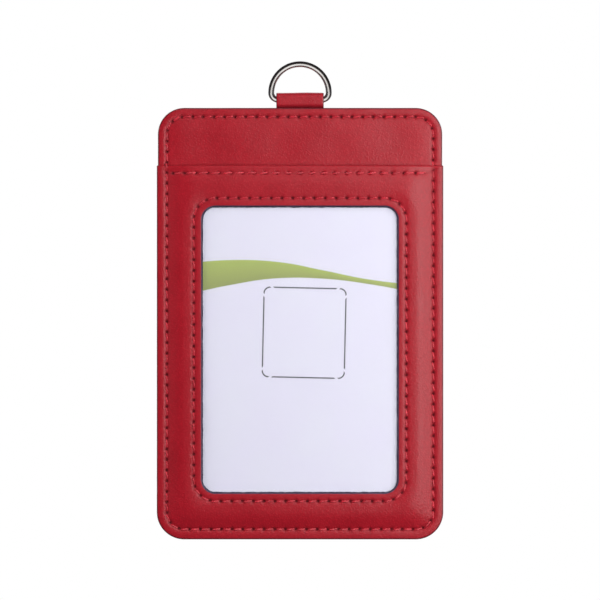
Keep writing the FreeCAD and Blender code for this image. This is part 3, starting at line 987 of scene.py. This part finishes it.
def laminated_card():
    """Laminated vinyl card: a satin skin over a dark print with a soft glow, plain bars and a warm patch.

    Its hidden face has a magnetic stripe and a pale strip to sign on."""
    prints = bpy.context.scene.badge_print
    material, tree = new_material("laminated_card")
    place, scaled, (x, y, z) = print_ground(tree)
    top = CARD_HIGH.z / MM
    haze = add(
        tree,
        "ShaderNodeTexNoise",
        {"Vector": place, "Scale": 1 / (11 * MM), "Detail": 3.0, "Roughness": 0.55},
    )
    drift = add(
        tree,
        "ShaderNodeMapRange",
        {0: x, "From Min": -24.0, "From Max": 24.0, "To Min": -0.35, "To Max": 0.35},
    )
    drift = add(tree, "ShaderNodeMath", (haze, drift), operation="ADD", use_clamp=True)
    face = add(
        tree, "ShaderNodeMix", {0: drift, 6: prints.card, 7: prints.card_far}, data_type="RGBA"
    ).outputs[2]
    glow_middle = (CARD_GLOW[0], 0, top - CARD_GLOW[1])
    glow_share = (1 / CARD_GLOW_HALF[0], 0, 1 / CARD_GLOW_HALF[1])
    off = add(tree, "ShaderNodeVectorMath", (scaled, glow_middle), operation="SUBTRACT")
    off = add(tree, "ShaderNodeVectorMath", (off, glow_share), operation="MULTIPLY")
    spread = add(tree, "ShaderNodeVectorMath", (off,), operation="LENGTH").outputs["Value"]
    ragged = add(tree, "ShaderNodeMath", {0: haze, 1: 0.7, 2: spread}, operation="MULTIPLY_ADD")
    for code, thin, full in ((prints.glow, 1.25, 0.35), (prints.spark, 0.85, 0.2)):
        light = add(
            tree,
            "ShaderNodeMapRange",
            {0: ragged, "From Min": thin, "From Max": full},
            interpolation_type="SMOOTHSTEP",
        )
        face = add(tree, "ShaderNodeMix", {0: light, 6: face, 7: code}, data_type="RGBA").outputs[2]

    def printed(ground, layers):
        """A ground colour with each layer's boxes over it."""
        for code, boxes in layers:
            for across, down, half, radius in boxes:
                mask = box_mask(tree, x, z, (across, top - down), half, radius)[0]
                ground = add(
                    tree, "ShaderNodeMix", {0: mask, 6: ground, 7: code}, data_type="RGBA"
                ).outputs[2]
        return ground

    face = printed(face, ((prints.bars, CARD_BARS), (prints.patch, CARD_PATCH)))
    rear = printed(
        linear("#34384A"), ((linear("#0B0B0D"), CARD_STRIPE), (linear("#D9D6CC"), CARD_STRIP))
    )
    middle = (CARD_LOW.y + CARD_HIGH.y) / 2 / MM
    outward = add(tree, "ShaderNodeMath", (y, middle), operation="GREATER_THAN")
    face = add(tree, "ShaderNodeMix", {0: outward, 6: rear, 7: face}, data_type="RGBA").outputs[2]
    # a pale rim is painted along the card's edge, a painted highlight
    centre = ((CARD_LOW.x + CARD_HIGH.x) / 2 / MM, (CARD_LOW.z + CARD_HIGH.z) / 2 / MM)
    half = ((CARD_HIGH.x - CARD_LOW.x) / 2 / MM, (CARD_HIGH.z - CARD_LOW.z) / 2 / MM)
    rim = box_mask(tree, x, z, centre, half, CARD_ROUND, width=0.34)[0]
    face = add(tree, "ShaderNodeMix", {0: rim, 6: face, 7: linear("#A9A6B8")}, data_type="RGBA").outputs[2]
    scuffs = add(tree, "ShaderNodeTexNoise", {"Vector": place, "Scale": 1 / (5 * MM), "Detail": 2.0})
    rough = add(tree, "ShaderNodeMapRange", {0: scuffs, **NOISE_SPAN, "To Min": 0.27, "To Max": 0.32})
    shader = add(
        tree, "ShaderNodeBsdfPrincipled", {"Base Color": face, "Roughness": rough, "IOR": 1.52}
    )
    return finish_material(material, shader)


def gold_flash():
    """Gold flash on nickel contacts: bright, slightly brushed by readers."""
    material, tree = new_material("gold_flash")
    place = add(tree, "ShaderNodeTexCoord").outputs["Object"]
    along = add(tree, "ShaderNodeMapping", {0: place, "Scale": (1 / (0.15 * MM), 1 / MM, 1 / (6 * MM))})
    brush = add(tree, "ShaderNodeTexNoise", {"Vector": along, "Scale": 1.0, "Detail": 2.0})
    rough = add(tree, "ShaderNodeMapRange", {0: brush, **NOISE_SPAN, "To Min": 0.22, "To Max": 0.36})
    tint = add(
        tree, "ShaderNodeMix", {0: brush, 6: linear("#D9B56A"), 7: linear("#C9A050")}, data_type="RGBA"
    ).outputs[2]
    shader = add(
        tree, "ShaderNodeBsdfPrincipled", {"Base Color": tint, "Metallic": 1.0, "Roughness": rough}
    )
    return finish_material(material, shader)


# ---- seams as geometry nodes -----------------------------------------------------------------


# where a stitch stands highest, from -1 at its first hole to 1 at the next, and the bare leather between
# two stitches
STITCH_CREST = -0.45
STITCH_GAP = 0.7 * MM
STITCH_SLANT, STITCH_SWAY = math.radians(8), math.radians(4)


def stitch_mesh(length, radius):
    """One laid stitch of two-ply thread: a twisted bar along X that dives at both ends."""
    # turns counts how often the two plies go round each other in one stitch
    stations, around, turns = 9, 8, 1.6
    work = bmesh.new()
    rows = []
    for i in range(stations):
        share = 2 * i / (stations - 1) - 1
        # the thread stands up where it leaves its hole and is pulled flush before the next one
        past = share - STITCH_CREST
        run = past / (1 - STITCH_CREST) if past > 0 else -past / (1 + STITCH_CREST)
        height = radius * (0.5 - (1.6 * run**1.2 if past > 0 else 2.2 * run**2.2))
        thick = radius * (1 - 0.3 * share**6)
        row = []
        for j in range(around):
            angle = 2 * math.pi * j / around
            ply = 1 + 0.2 * math.cos(2 * (angle - math.pi * turns * share))
            y, z = thick * ply * math.cos(angle), thick * ply * math.sin(angle)
            row.append(work.verts.new((share * length / 2, y, height + 0.85 * z)))
        rows.append(row)
    bridge(work, rows)
    mesh = mesh_from(work, "stitch")
    for face in mesh.polygons:
        face.use_smooth = True
    return mesh


def stitch_tree():
    """Geometry nodes that lay one stitch at each step of a seam's path."""
    tree = bpy.data.node_groups.new("stitched_row", "GeometryNodeTree")
    face = tree.interface
    for name, kind in (
        ("Seam path", "NodeSocketGeometry"),
        ("Stitch", "NodeSocketObject"),
        ("Stitches", "NodeSocketInt"),
        ("Outward", "NodeSocketVector"),
        ("Slant", "NodeSocketFloat"),
        ("Unevenness", "NodeSocketFloat"),
        ("Seed", "NodeSocketInt"),
        ("Thread", "NodeSocketMaterial"),
    ):
        face.new_socket(name, in_out="INPUT", socket_type=kind)
    face.new_socket("Row", in_out="OUTPUT", socket_type="NodeSocketGeometry")
    given = add(tree, "NodeGroupInput").outputs
    spots = add(
        tree,
        "GeometryNodeCurveToPoints",
        {"Curve": given["Seam path"], "Count": given["Stitches"]},
        mode="COUNT",
    )
    facing = add(
        tree,
        "FunctionNodeAxesToRotation",
        {"Primary Axis": given["Outward"], "Secondary Axis": spots.outputs["Tangent"]},
        primary_axis="Z",
        secondary_axis="X",
    )
    spread = add(tree, "ShaderNodeMath", (given["Unevenness"], -1.0), operation="MULTIPLY")
    sway = add(
        tree,
        "FunctionNodeRandomValue",
        {2: spread, 3: given["Unevenness"], "Seed": given["Seed"]},
        data_type="FLOAT",
    ).outputs[1]
    angle = add(tree, "ShaderNodeMath", (given["Slant"], sway), operation="ADD")
    turn = add(tree, "FunctionNodeAxisAngleToRotation", {"Axis": (0, 0, 1), "Angle": angle})
    heading = add(tree, "FunctionNodeRotateRotation", (facing, turn), rotation_space="LOCAL")
    stitch = add(tree, "GeometryNodeObjectInfo", {"Object": given["Stitch"]}).outputs["Geometry"]
    size_seed = add(tree, "ShaderNodeMath", (given["Seed"], 1.0), operation="ADD")
    sizes = add(
        tree,
        "FunctionNodeRandomValue",
        {0: (0.94, 0.9, 0.9), 1: (1.04, 1.1, 1.1), "Seed": size_seed},
        data_type="FLOAT_VECTOR",
    )
    laid = add(
        tree,
        "GeometryNodeInstanceOnPoints",
        {"Points": spots, "Instance": stitch, "Rotation": heading, "Scale": sizes},
    )
    real = add(tree, "GeometryNodeRealizeInstances", (laid,))
    dressed = add(tree, "GeometryNodeSetMaterial", {"Geometry": real, "Material": given["Thread"]})
    add(tree, "NodeGroupOutput", (dressed,))
    return tree


def sew(name, node, path, cyclic, count, levels, side, seed):
    """Lays a seam's stitches along a path at given levels and bakes them to one plain mesh."""
    seams = bpy.context.scene.badge_seams
    x, z, lengths = run_lengths(path, cyclic)
    pitch = lengths[-1] / count
    if not cyclic:
        half_step = pitch / 2
        keep = np.linspace(half_step, lengths[-1] - half_step, 8 * count)
        levels = np.interp(keep, lengths, levels)
        x, z = np.interp(keep, lengths, x), np.interp(keep, lengths, z)
    else:
        x, z = path
    curve = bpy.data.curves.new(name + "_path", "CURVE")
    curve.dimensions = "3D"
    spline = curve.splines.new("POLY")
    spline.points.add(len(x) - 1)
    spline.use_cyclic_u = cyclic
    flat = np.stack([x, side * levels, z, np.ones(len(x))], axis=1)
    spline.points.foreach_set("co", flat.ravel())
    guide = bpy.data.objects.new(name + "_guide", curve)
    bpy.context.scene.collection.objects.link(guide)
    one = bpy.data.objects.new(name + "_one", stitch_mesh(pitch - STITCH_GAP, seams.thread))
    bpy.context.scene.collection.objects.link(one)

    tree = bpy.data.node_groups.get("stitched_row") or stitch_tree()
    settings = {
        "Stitch": one,
        "Stitches": count,
        "Outward": (0.0, float(side), 0.0),
        "Slant": STITCH_SLANT,
        "Unevenness": STITCH_SWAY,
        "Seed": seed,
        "Thread": bpy.data.materials["waxed_thread"],
    }
    modifier = guide.modifiers.new("stitches", "NODES")
    modifier.node_group = tree
    for item in tree.interface.items_tree:
        if item.name in settings:
            modifier[item.identifier] = settings[item.name]
    depsgraph = bpy.context.evaluated_depsgraph_get()
    mesh = bpy.data.meshes.new_from_object(guide.evaluated_get(depsgraph), depsgraph=depsgraph)
    mesh.name = name
    bpy.data.objects.remove(guide)
    bpy.data.objects.remove(one)
    piece = object_from(name, mesh, bpy.data.materials["waxed_thread"])
    return settle(piece, "holder", "thread", node)


# ---- operators -------------------------------------------------------------------------------


class BADGE_OT_materials(bpy.types.Operator):
    """Makes every material that the pieces are finished in"""

    bl_idname = "badge.materials"
    bl_label = "Make materials"

    def execute(self, context):
        coated_leather()
        waxed_thread()
        nickel_plate()
        clear_film()
        grey_board()
        edge_paint()
        printed_card()
        laminated_card()
        gold_flash()
        return {"FINISHED"}


class BADGE_OT_covers(bpy.types.Operator):
    """Makes the two full-size leather covers"""

    bl_idname = "badge.covers"
    bl_label = "Make covers"

    def execute(self, context):
        make_cover(FRONT)
        make_cover(BACK)
        return {"FINISHED"}


class BADGE_OT_pockets(bpy.types.Operator):
    """Makes the windowed front pocket and the plain back pocket"""

    bl_idname = "badge.pockets"
    bl_label = "Make pockets"

    def execute(self, context):
        make_pocket(FRONT)
        make_pocket(BACK)
        return {"FINISHED"}


class BADGE_OT_board(bpy.types.Operator):
    """Finishes the stiffener board and runs a bead of paint round its edge"""

    bl_idname = "badge.board"
    bl_label = "Finish board and paint edge"

    def execute(self, context):
        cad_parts["stiffener_board"].data.materials[0] = bpy.data.materials["grey_board"]
        inset = BODY_HALF - BOARD_HIGH.x
        middle = (BODY_LOW + BODY_HIGH) / 2
        # the bead stops short of the loop on both sides
        gap = LOOP_HIGH.x + 0.35 * MM
        # the bead's own section: how far out it stands, and its height across the board's thickness
        section = [(math.cos(a), math.sin(a)) for a in np.linspace(-math.pi / 2, math.pi / 2, 9)]
        rows = []
        for reach, across in section:
            out = inset - 0.02 * MM - (inset - 0.12 * MM) * reach
            x, z = body_outline(out, (220, 14, 300, 220))
            at_loop = (np.abs(x) < gap) & (z > middle)
            first = np.argmax(at_loop) + np.sum(at_loop)
            order = (np.arange(len(x)) + first) % len(x)
            order = order[~at_loop[order]]
            wave = 0.03 * MM * wander(x[order], z[order], 2.4 * MM, 31) * reach
            scale = 1 + wave / BODY_HALF
            y = np.full(len(order), across * BOARD_LEVEL * 0.98)
            rows.append((x[order] * scale, y, z[order]))
        count = min(len(row[0]) for row in rows)
        work = bmesh.new()
        made = [[work.verts.new(p) for p in np.stack(row, axis=1)[:count]] for row in rows]
        bridge(work, made + made[:1], closed=False, capped=False)
        for end in (0, -1):
            work.faces.new([row[end] for row in made])
        mesh = mesh_from(work, "edge_paint_bead")
        piece = object_from("edge_paint_bead", mesh, bpy.data.materials["edge_paint"])
        settle(piece, "holder", "leather")
        return {"FINISHED"}


class BADGE_OT_film(bpy.types.Operator):
    """Finishes the clear window film"""

    bl_idname = "badge.film"
    bl_label = "Finish film"

    def execute(self, context):
        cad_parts["window_film"].data.materials[0] = bpy.data.materials["clear_vinyl"]
        return {"FINISHED"}


class BADGE_OT_ring(bpy.types.Operator):
    """Makes the D-ring as one smooth bent wire, butted in the middle of its bar"""

    bl_idname = "badge.ring"
    bl_label = "Make D-ring"

    corner: length_property("Corner", "Radius of the ring's two tight corners, to the wire's middle", 1.8)

    def execute(self, context):
        wire = RING_HIGH.y
        arch = RING_HIGH.x - wire
        bar = RING_LOW.z + wire
        centre = bar + self.corner
        straight = arch - self.corner
        # the wire's two ends meet in the middle of the bar, with a fine gap and a small step between them
        gap, step, worn_end = 0.05 * MM, 0.03 * MM, 0.72
        along_bar, along_corner, along_arch, around = 8, 14, 96, 28
        path = [(gap + (straight - gap) * i / along_bar, bar, -90.0) for i in range(along_bar)]
        for i in range(along_corner):
            turn = math.radians(-90 + 90 * i / along_corner)
            x, z = straight + self.corner * math.cos(turn), centre + self.corner * math.sin(turn)
            path.append((x, z, math.degrees(turn)))
        for i in range(along_arch + 1):
            turn = math.radians(180 * i / along_arch)
            path.append((arch * math.cos(turn), centre + arch * math.sin(turn), math.degrees(turn)))
        path += [(-x, z, 180 - heading) for x, z, heading in reversed(path[: along_bar + along_corner])]
        work = bmesh.new()
        rows, shaded = [], []
        ends = [(path[0], worn_end), *[(spot, 1.0) for spot in path], (path[-1], worn_end)]
        for place, ((x, z, heading), share) in enumerate(ends):
            turn = math.radians(heading)
            out_x, out_z = math.cos(turn), math.sin(turn)
            slip = (-step if place == 0 else step) if share < 1 else 0.0
            row = []
            for j in range(around):
                angle = 2 * math.pi * j / around
                reach, y = wire * share * math.cos(angle), wire * share * math.sin(angle)
                row.append(work.verts.new((x + reach * out_x + slip, y, z + reach * out_z)))
                # painted dark reflection: the share of dark tint on the wire's outer side, above the corners,
                # so the bright reflection stays on its inner side
                above = float(ease((z - centre + 0.6 * MM) / (2.4 * MM)))
                shaded.append(above * float(ease((math.cos(angle) + 0.12) / 0.5)))
            rows.append(row)
        bridge(work, rows)
        mesh = mesh_from(work, "nickel_d_ring", tarnish=shaded)
        piece = object_from("nickel_d_ring", mesh, bpy.data.materials["nickel_plate"])
        settle(piece, "ring", "nickel_wire", "d_ring")
        return {"FINISHED"}


class BADGE_OT_loop(bpy.types.Operator):
    """Makes the leather strip that is folded over the ring's bar"""

    bl_idname = "badge.loop"
    bl_label = "Make ring loop"

    leather: length_property("Strip", "Thickness of the strip's leather", 0.4)
    gather: length_property("Gather", "Height over which the two plies part above the body", 1.0)

    def execute(self, context):
        half_thick = self.leather / 2
        mid = LOOP_HIGH.y - half_thick
        crown = LOOP_HIGH.z - LOOP_HIGH.y
        # the two tails lie a hair apart between the covers
        tail = half_thick + 0.025 * MM
        foot, neck = LOOP_LOW.z, BODY_HIGH
        in_body, up_neck, over_bar = 6, 14, 16
        line = [(tail, foot + (neck - foot) * i / in_body) for i in range(in_body)]
        for i in range(up_neck):
            share = i / up_neck
            parted = float(ease(share * (crown - neck) / self.gather))
            line.append((tail + (mid - tail) * parted, neck + (crown - neck) * share))
        for i in range(over_bar + 1):
            turn = math.pi * i / over_bar
            line.append((mid * math.cos(turn), crown + mid * math.sin(turn)))
        line += [(-y, z) for y, z in reversed(line[: in_body + up_neck])]
        line = np.array(line)
        along = np.gradient(line, axis=0)
        along /= np.linalg.norm(along, axis=1)[:, None]
        normal = np.stack([along[:, 1], -along[:, 0]], axis=1)
        outer, inner = line + normal * half_thick, line - normal * half_thick
        section = np.concatenate([outer, inner[::-1]])
        middle = np.concatenate([line, line[::-1]])
        count, total = len(line), len(section)
        rows, pressed, painted = [], [], []
        for share in (-1, -0.985, -0.95, *np.linspace(-0.9, 0.9, 19), 0.95, 0.985, 1):
            pinch = 1 - 0.35 * max(abs(share) - 0.95, 0) / 0.05
            shape = middle + (section - middle) * pinch
            free = np.clip((shape[:, 1] - neck) / (2 * MM), 0, 1)
            bow = 0.05 * MM * math.sin(3.1 * share + 0.6) * free
            x = np.full(total, share * LOOP_HIGH.x)
            rows.append((x, shape[:, 0], shape[:, 1] + bow - 0.05 * MM))
            # painted shade in the crease where the strip goes in between the covers
            pressed.append(0.8 * dip(shape[:, 1] - neck, 0.45 * MM))
            painted.append(np.full(total, 1.0 if abs(share) > 0.97 else 0.0))
        work = bmesh.new()
        made = [[work.verts.new(p) for p in np.stack(row, axis=1)] for row in rows]
        bridge(work, made, capped=False)
        for row in (made[0], made[-1]):
            for j in range(count - 1):
                work.faces.new((row[j], row[j + 1], row[total - 2 - j], row[total - 1 - j]))
        mesh = mesh_from(work, "ring_loop_leather", pressed=pressed, painted=painted)
        piece = object_from("ring_loop_leather", mesh, bpy.data.materials["coated_leather"])
        settle(piece, "holder", "leather", "ring_loop")
        return {"FINISHED"}


class BADGE_OT_seams(bpy.types.Operator):
    """Sews every seam, on the faces and inside the pockets"""

    bl_idname = "badge.seams"
    bl_label = "Sew seams"

    def execute(self, context):
        seams = context.scene.badge_seams
        sunk = 0.1 * seams.thread
        outer, outer_count = outer_seam()
        x, z = outer
        for side, node in ((FRONT, "perimeter_needle_thread"), (BACK, "perimeter_bobbin_thread")):
            over = ease((MOUTH + 0.2 * MM - z) / (0.9 * MM))
            below = pocket_level(x, np.minimum(z, MOUTH - 0.8 * MM), side)
            levels = cover_level(x, z, side) * (1 - over) + below * over + sunk
            name = "outer_seam_" + SIDE_NAME[side]
            sew(name, node, outer, True, outer_count, levels, side, seams.seed + side)
        window, count = window_seam()
        levels = pocket_level(*window, FRONT) + sunk
        sew("window_seam_face", "window_needle_thread", window, True, count, levels, FRONT, seams.seed + 3)
        levels = np.full(len(window[0]), -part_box("window_bobbin_thread")[1].y + 0.05 * MM)
        sew("window_seam_lining", "window_bobbin_thread", window, True, count, levels, FRONT, seams.seed + 4)
        for side, place in SIDE_NAME.items():
            name, node = f"{place}_mouth_seam_face", f"{place}_mouth_needle_thread"
            mouth, count = mouth_seam()
            levels = pocket_level(*mouth, side) + sunk
            sew(name, node, mouth, False, count, levels, side, seams.seed + 6 + side)
            name, node = f"{place}_mouth_seam_lining", f"{place}_mouth_bobbin_thread"
            low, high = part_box(node)
            short = (mouth[0] * high.x / seams.mouth_half, mouth[1])
            count = round(2 * high.x / seams.mouth_pitch)
            levels = np.full(len(mouth[0]), abs(low.y + high.y) / 2 + 0.05 * MM)
            sew(name, node, short, False, count, levels, side, seams.seed + 9 + side)
        return {"FINISHED"}


class BADGE_OT_insert(bpy.types.Operator):
    """Finishes the printed insert behind the window"""

    bl_idname = "badge.insert"
    bl_label = "Finish insert"

    def execute(self, context):
        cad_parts["id_insert"].data.materials[0] = bpy.data.materials["printed_card_stock"]
        return {"FINISHED"}


class BADGE_OT_card(bpy.types.Operator):
    """Finishes the access card and makes its eight contact pads"""

    bl_idname = "badge.card"
    bl_label = "Finish card and contacts"

    line: length_property("Line", "Width of the lines between the contact pads", 0.22)

    def execute(self, context):
        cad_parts["access_card"].data.materials[0] = bpy.data.materials["laminated_card"]
        gap = self.line
        work = bmesh.new()
        columns, lines = 2, 4
        wide = (CHIP_HIGH.x - CHIP_LOW.x - gap * (columns - 1)) / columns
        tall = (CHIP_HIGH.z - CHIP_LOW.z - gap * (lines - 1)) / lines
        for i in range(columns):
            for j in range(lines):
                low_x = CHIP_LOW.x + i * (wide + gap)
                low_z = CHIP_LOW.z + j * (tall + gap)
                # the plate's own corner, which is rounded more than the corners between pads
                round_x = CHIP_LOW.x if i == 0 else CHIP_HIGH.x
                round_z = CHIP_LOW.z if j == 0 else CHIP_HIGH.z
                rim = []
                for corner_x, corner_z, start in (
                    (low_x + wide, low_z, -90),
                    (low_x + wide, low_z + tall, 0),
                    (low_x, low_z + tall, 90),
                    (low_x, low_z, 180),
                ):
                    at_plate_corner = abs(corner_x - round_x) < 1e-6 and abs(corner_z - round_z) < 1e-6
                    radius = 1.5 * MM if at_plate_corner else 0.2 * MM
                    centre_x = corner_x + (radius if corner_x == low_x else -radius)
                    centre_z = corner_z + (radius if corner_z == low_z else -radius)
                    for step in range(7):
                        turn = math.radians(start + 15 * step)
                        rim.append((centre_x + radius * math.cos(turn), centre_z + radius * math.sin(turn)))
                # each pad has a fine chamfer round its top
                base = [work.verts.new((a, CHIP_LOW.y, b)) for a, b in rim]
                lip = [work.verts.new((a, CHIP_HIGH.y - 0.03 * MM, b)) for a, b in rim]
                mid_x = sum(a for a, _ in rim) / len(rim)
                mid_z = sum(b for _, b in rim) / len(rim)
                drawn_in = [(a + (mid_x - a) * 0.02, b + (mid_z - b) * 0.02) for a, b in rim]
                top = [work.verts.new((a, CHIP_HIGH.y, b)) for a, b in drawn_in]
                bridge(work, (base, lip, top))
        mesh = mesh_from(work, "contact_pads")
        piece = object_from("contact_pads", mesh, bpy.data.materials["gold_flash"])
        for face in mesh.polygons:
            face.use_smooth = False
        settle(piece, "card", "contact_plate", "card_chip")
        return {"FINISHED"}


class BADGE_OT_stage(bpy.types.Operator):
    """Sets the pale floor, the soft lights and the camera"""

    bl_idname = "badge.stage"
    bl_label = "Set stage"

    lens: FloatProperty(name="Lens", description="Focal length of the camera's long lens", default=120.0)
    fill: FloatProperty(
        name="Fill", description="Share of the picture's height that the holder takes", default=0.8
    )

    def execute(self, context):
        scene = context.scene
        scene.view_settings.view_transform = "Standard"
        low, high = (Vector(corner) for corner in CAD_BOX)
        middle = (low + high) / 2

        sensor = 36.0
        view_height = (high.z - low.z) / self.fill
        distance = view_height / 2 / math.tan(math.atan(sensor / 2 / self.lens))
        camera = bpy.data.cameras.new("camera")
        camera.lens, camera.sensor_width = self.lens, sensor
        camera.clip_start, camera.clip_end = 0.01, 20
        tripod = bpy.data.objects.new("camera", camera)
        tripod.location = (middle.x, low.y - distance, middle.z)
        tripod.rotation_euler = (math.radians(90), 0, 0)
        scene.collection.objects.link(tripod)
        scene.camera = tripod

        def lamp(name, azimuth, elevation, away, width, height, power, shows_on):
            """A soft box that looks at the holder's middle, placed by its bearing from the front."""
            light = bpy.data.lights.new(name, "AREA")
            light.shape = "RECTANGLE"
            light.size, light.size_y, light.energy = width, height, power
            body = bpy.data.objects.new(name, light)
            turn, lift = math.radians(azimuth), math.radians(elevation)
            offset = Vector(
                (math.sin(turn) * math.cos(lift), -math.cos(turn) * math.cos(lift), math.sin(lift))
            )
            body.location = middle + offset * away
            body.rotation_euler = offset.to_track_quat("Z", "Y").to_euler()
            body.light_linking.receiver_collection = shows_on
            scene.collection.objects.link(body)
            return body

        metal_only = bpy.data.collections.new("metal_only")
        all_but_metal = bpy.data.collections.new("all_but_metal")
        metal_only.objects.link(bpy.data.objects["contact_pads"])
        for group in (metal_only, all_but_metal):
            group.objects.link(bpy.data.objects["nickel_d_ring"])
        all_but_metal.collection_objects[0].light_linking.link_state = "EXCLUDE"

        # the same set of lamps stands in front and, turned half round, behind, where its gloss is held back
        for name, half_turn, gain, gloss in (("front", 0, 1.0, 1.0), ("rear", 180, 1.85, 0.66)):
            lamp(name + "_sheen", half_turn + 28, 3, 0.3, 0.13, 0.26, 0.52 * gain * gloss, all_but_metal)
            lamp(name + "_glow", half_turn + 13, 27, 0.24, 0.09, 0.09, 0.042 * gain * gloss, all_but_metal)
            lamp(name + "_key", half_turn + 56, 8, 0.7, 0.35, 0.7, 2.4 * gain * gloss, all_but_metal)
            fill = lamp(name + "_fill", half_turn - 64, 12, 0.9, 0.6, 0.8, 4.1 * gain, all_but_metal)
            fill.visible_glossy = False
            lamp(name + "_top", half_turn + 10, 50, 0.9, 0.6, 0.4, 1.0 * gain, all_but_metal)
            # bright metal needs one broad white card to mirror, which would grey the leather
            lamp(name + "_card", half_turn, -16, 0.8, 1.1, 0.9, 3.5, metal_only)

        world = bpy.data.worlds.new("studio")
        scene.world = world
        world.use_nodes = True
        tree = world.node_tree
        tree.nodes.clear()
        seen = add(tree, "ShaderNodeLightPath").outputs["Is Camera Ray"]
        white = add(tree, "ShaderNodeBackground", {"Color": (1, 1, 1, 1), "Strength": 1.0})
        dim = add(tree, "ShaderNodeBackground", {"Color": linear("#F2F4FF"), "Strength": 0.08})
        mixed = add(tree, "ShaderNodeMixShader", (seen, dim, white))
        add(tree, "ShaderNodeOutputWorld", (mixed,))

        material, tree = new_material("white_paper")
        glow = add(tree, "ShaderNodeEmission", {"Color": (1, 1, 1, 1), "Strength": 1.0})
        finish_material(material, glow)
        work = bmesh.new()
        bmesh.ops.create_circle(work, cap_ends=True, segments=96, radius=3.0)
        bmesh.ops.translate(work, verts=work.verts, vec=(0, 0, low.z - 0.25))
        mesh = bpy.data.meshes.new("floor")
        work.to_mesh(mesh)
        work.free()
        floor = object_from("floor", mesh, material)
        floor.visible_diffuse = floor.visible_glossy = floor.visible_shadow = False
        return {"FINISHED"}


class BADGE_PT_panel(bpy.types.Panel):
    """Lists the holder's sizes, colours and steps"""

    bl_label = "Badge holder"
    bl_idname = "BADGE_PT_panel"
    bl_space_type = "VIEW_3D"
    bl_region_type = "UI"
    bl_category = "Badge holder"

    def draw(self, context):
        for group in GROUPS:
            column = self.layout.column(heading=group)
            settings = getattr(context.scene, group)
            for name in settings.__annotations__:
                column.prop(settings, name)
        for step in STEPS:
            self.layout.operator(step.bl_idname)


STEPS = (
    BADGE_OT_materials,
    BADGE_OT_covers,
    BADGE_OT_pockets,
    BADGE_OT_board,
    BADGE_OT_film,
    BADGE_OT_ring,
    BADGE_OT_loop,
    BADGE_OT_seams,
    BADGE_OT_insert,
    BADGE_OT_card,
    BADGE_OT_stage,
)
GROUPS = {
    "badge_leather": BadgeLeather,
    "badge_seams": BadgeSeams,
    "badge_window": BadgeWindow,
    "badge_print": BadgePrint,
}


def register():
    for group in (*GROUPS.values(), *STEPS, BADGE_PT_panel):
        bpy.utils.register_class(group)
    for name, group in GROUPS.items():
        setattr(bpy.types.Scene, name, PointerProperty(type=group))


def unregister():
    for name in GROUPS:
        delattr(bpy.types.Scene, name)
    for group in reversed((*GROUPS.values(), *STEPS, BADGE_PT_panel)):
        bpy.utils.unregister_class(group)


def main():
    """Registers the add-on and runs every step in order."""
    register()
    for step in STEPS:
        group, name = step.bl_idname.split(".")
        getattr(getattr(bpy.ops, group), name)()


if __name__ == "__main__":
    main()
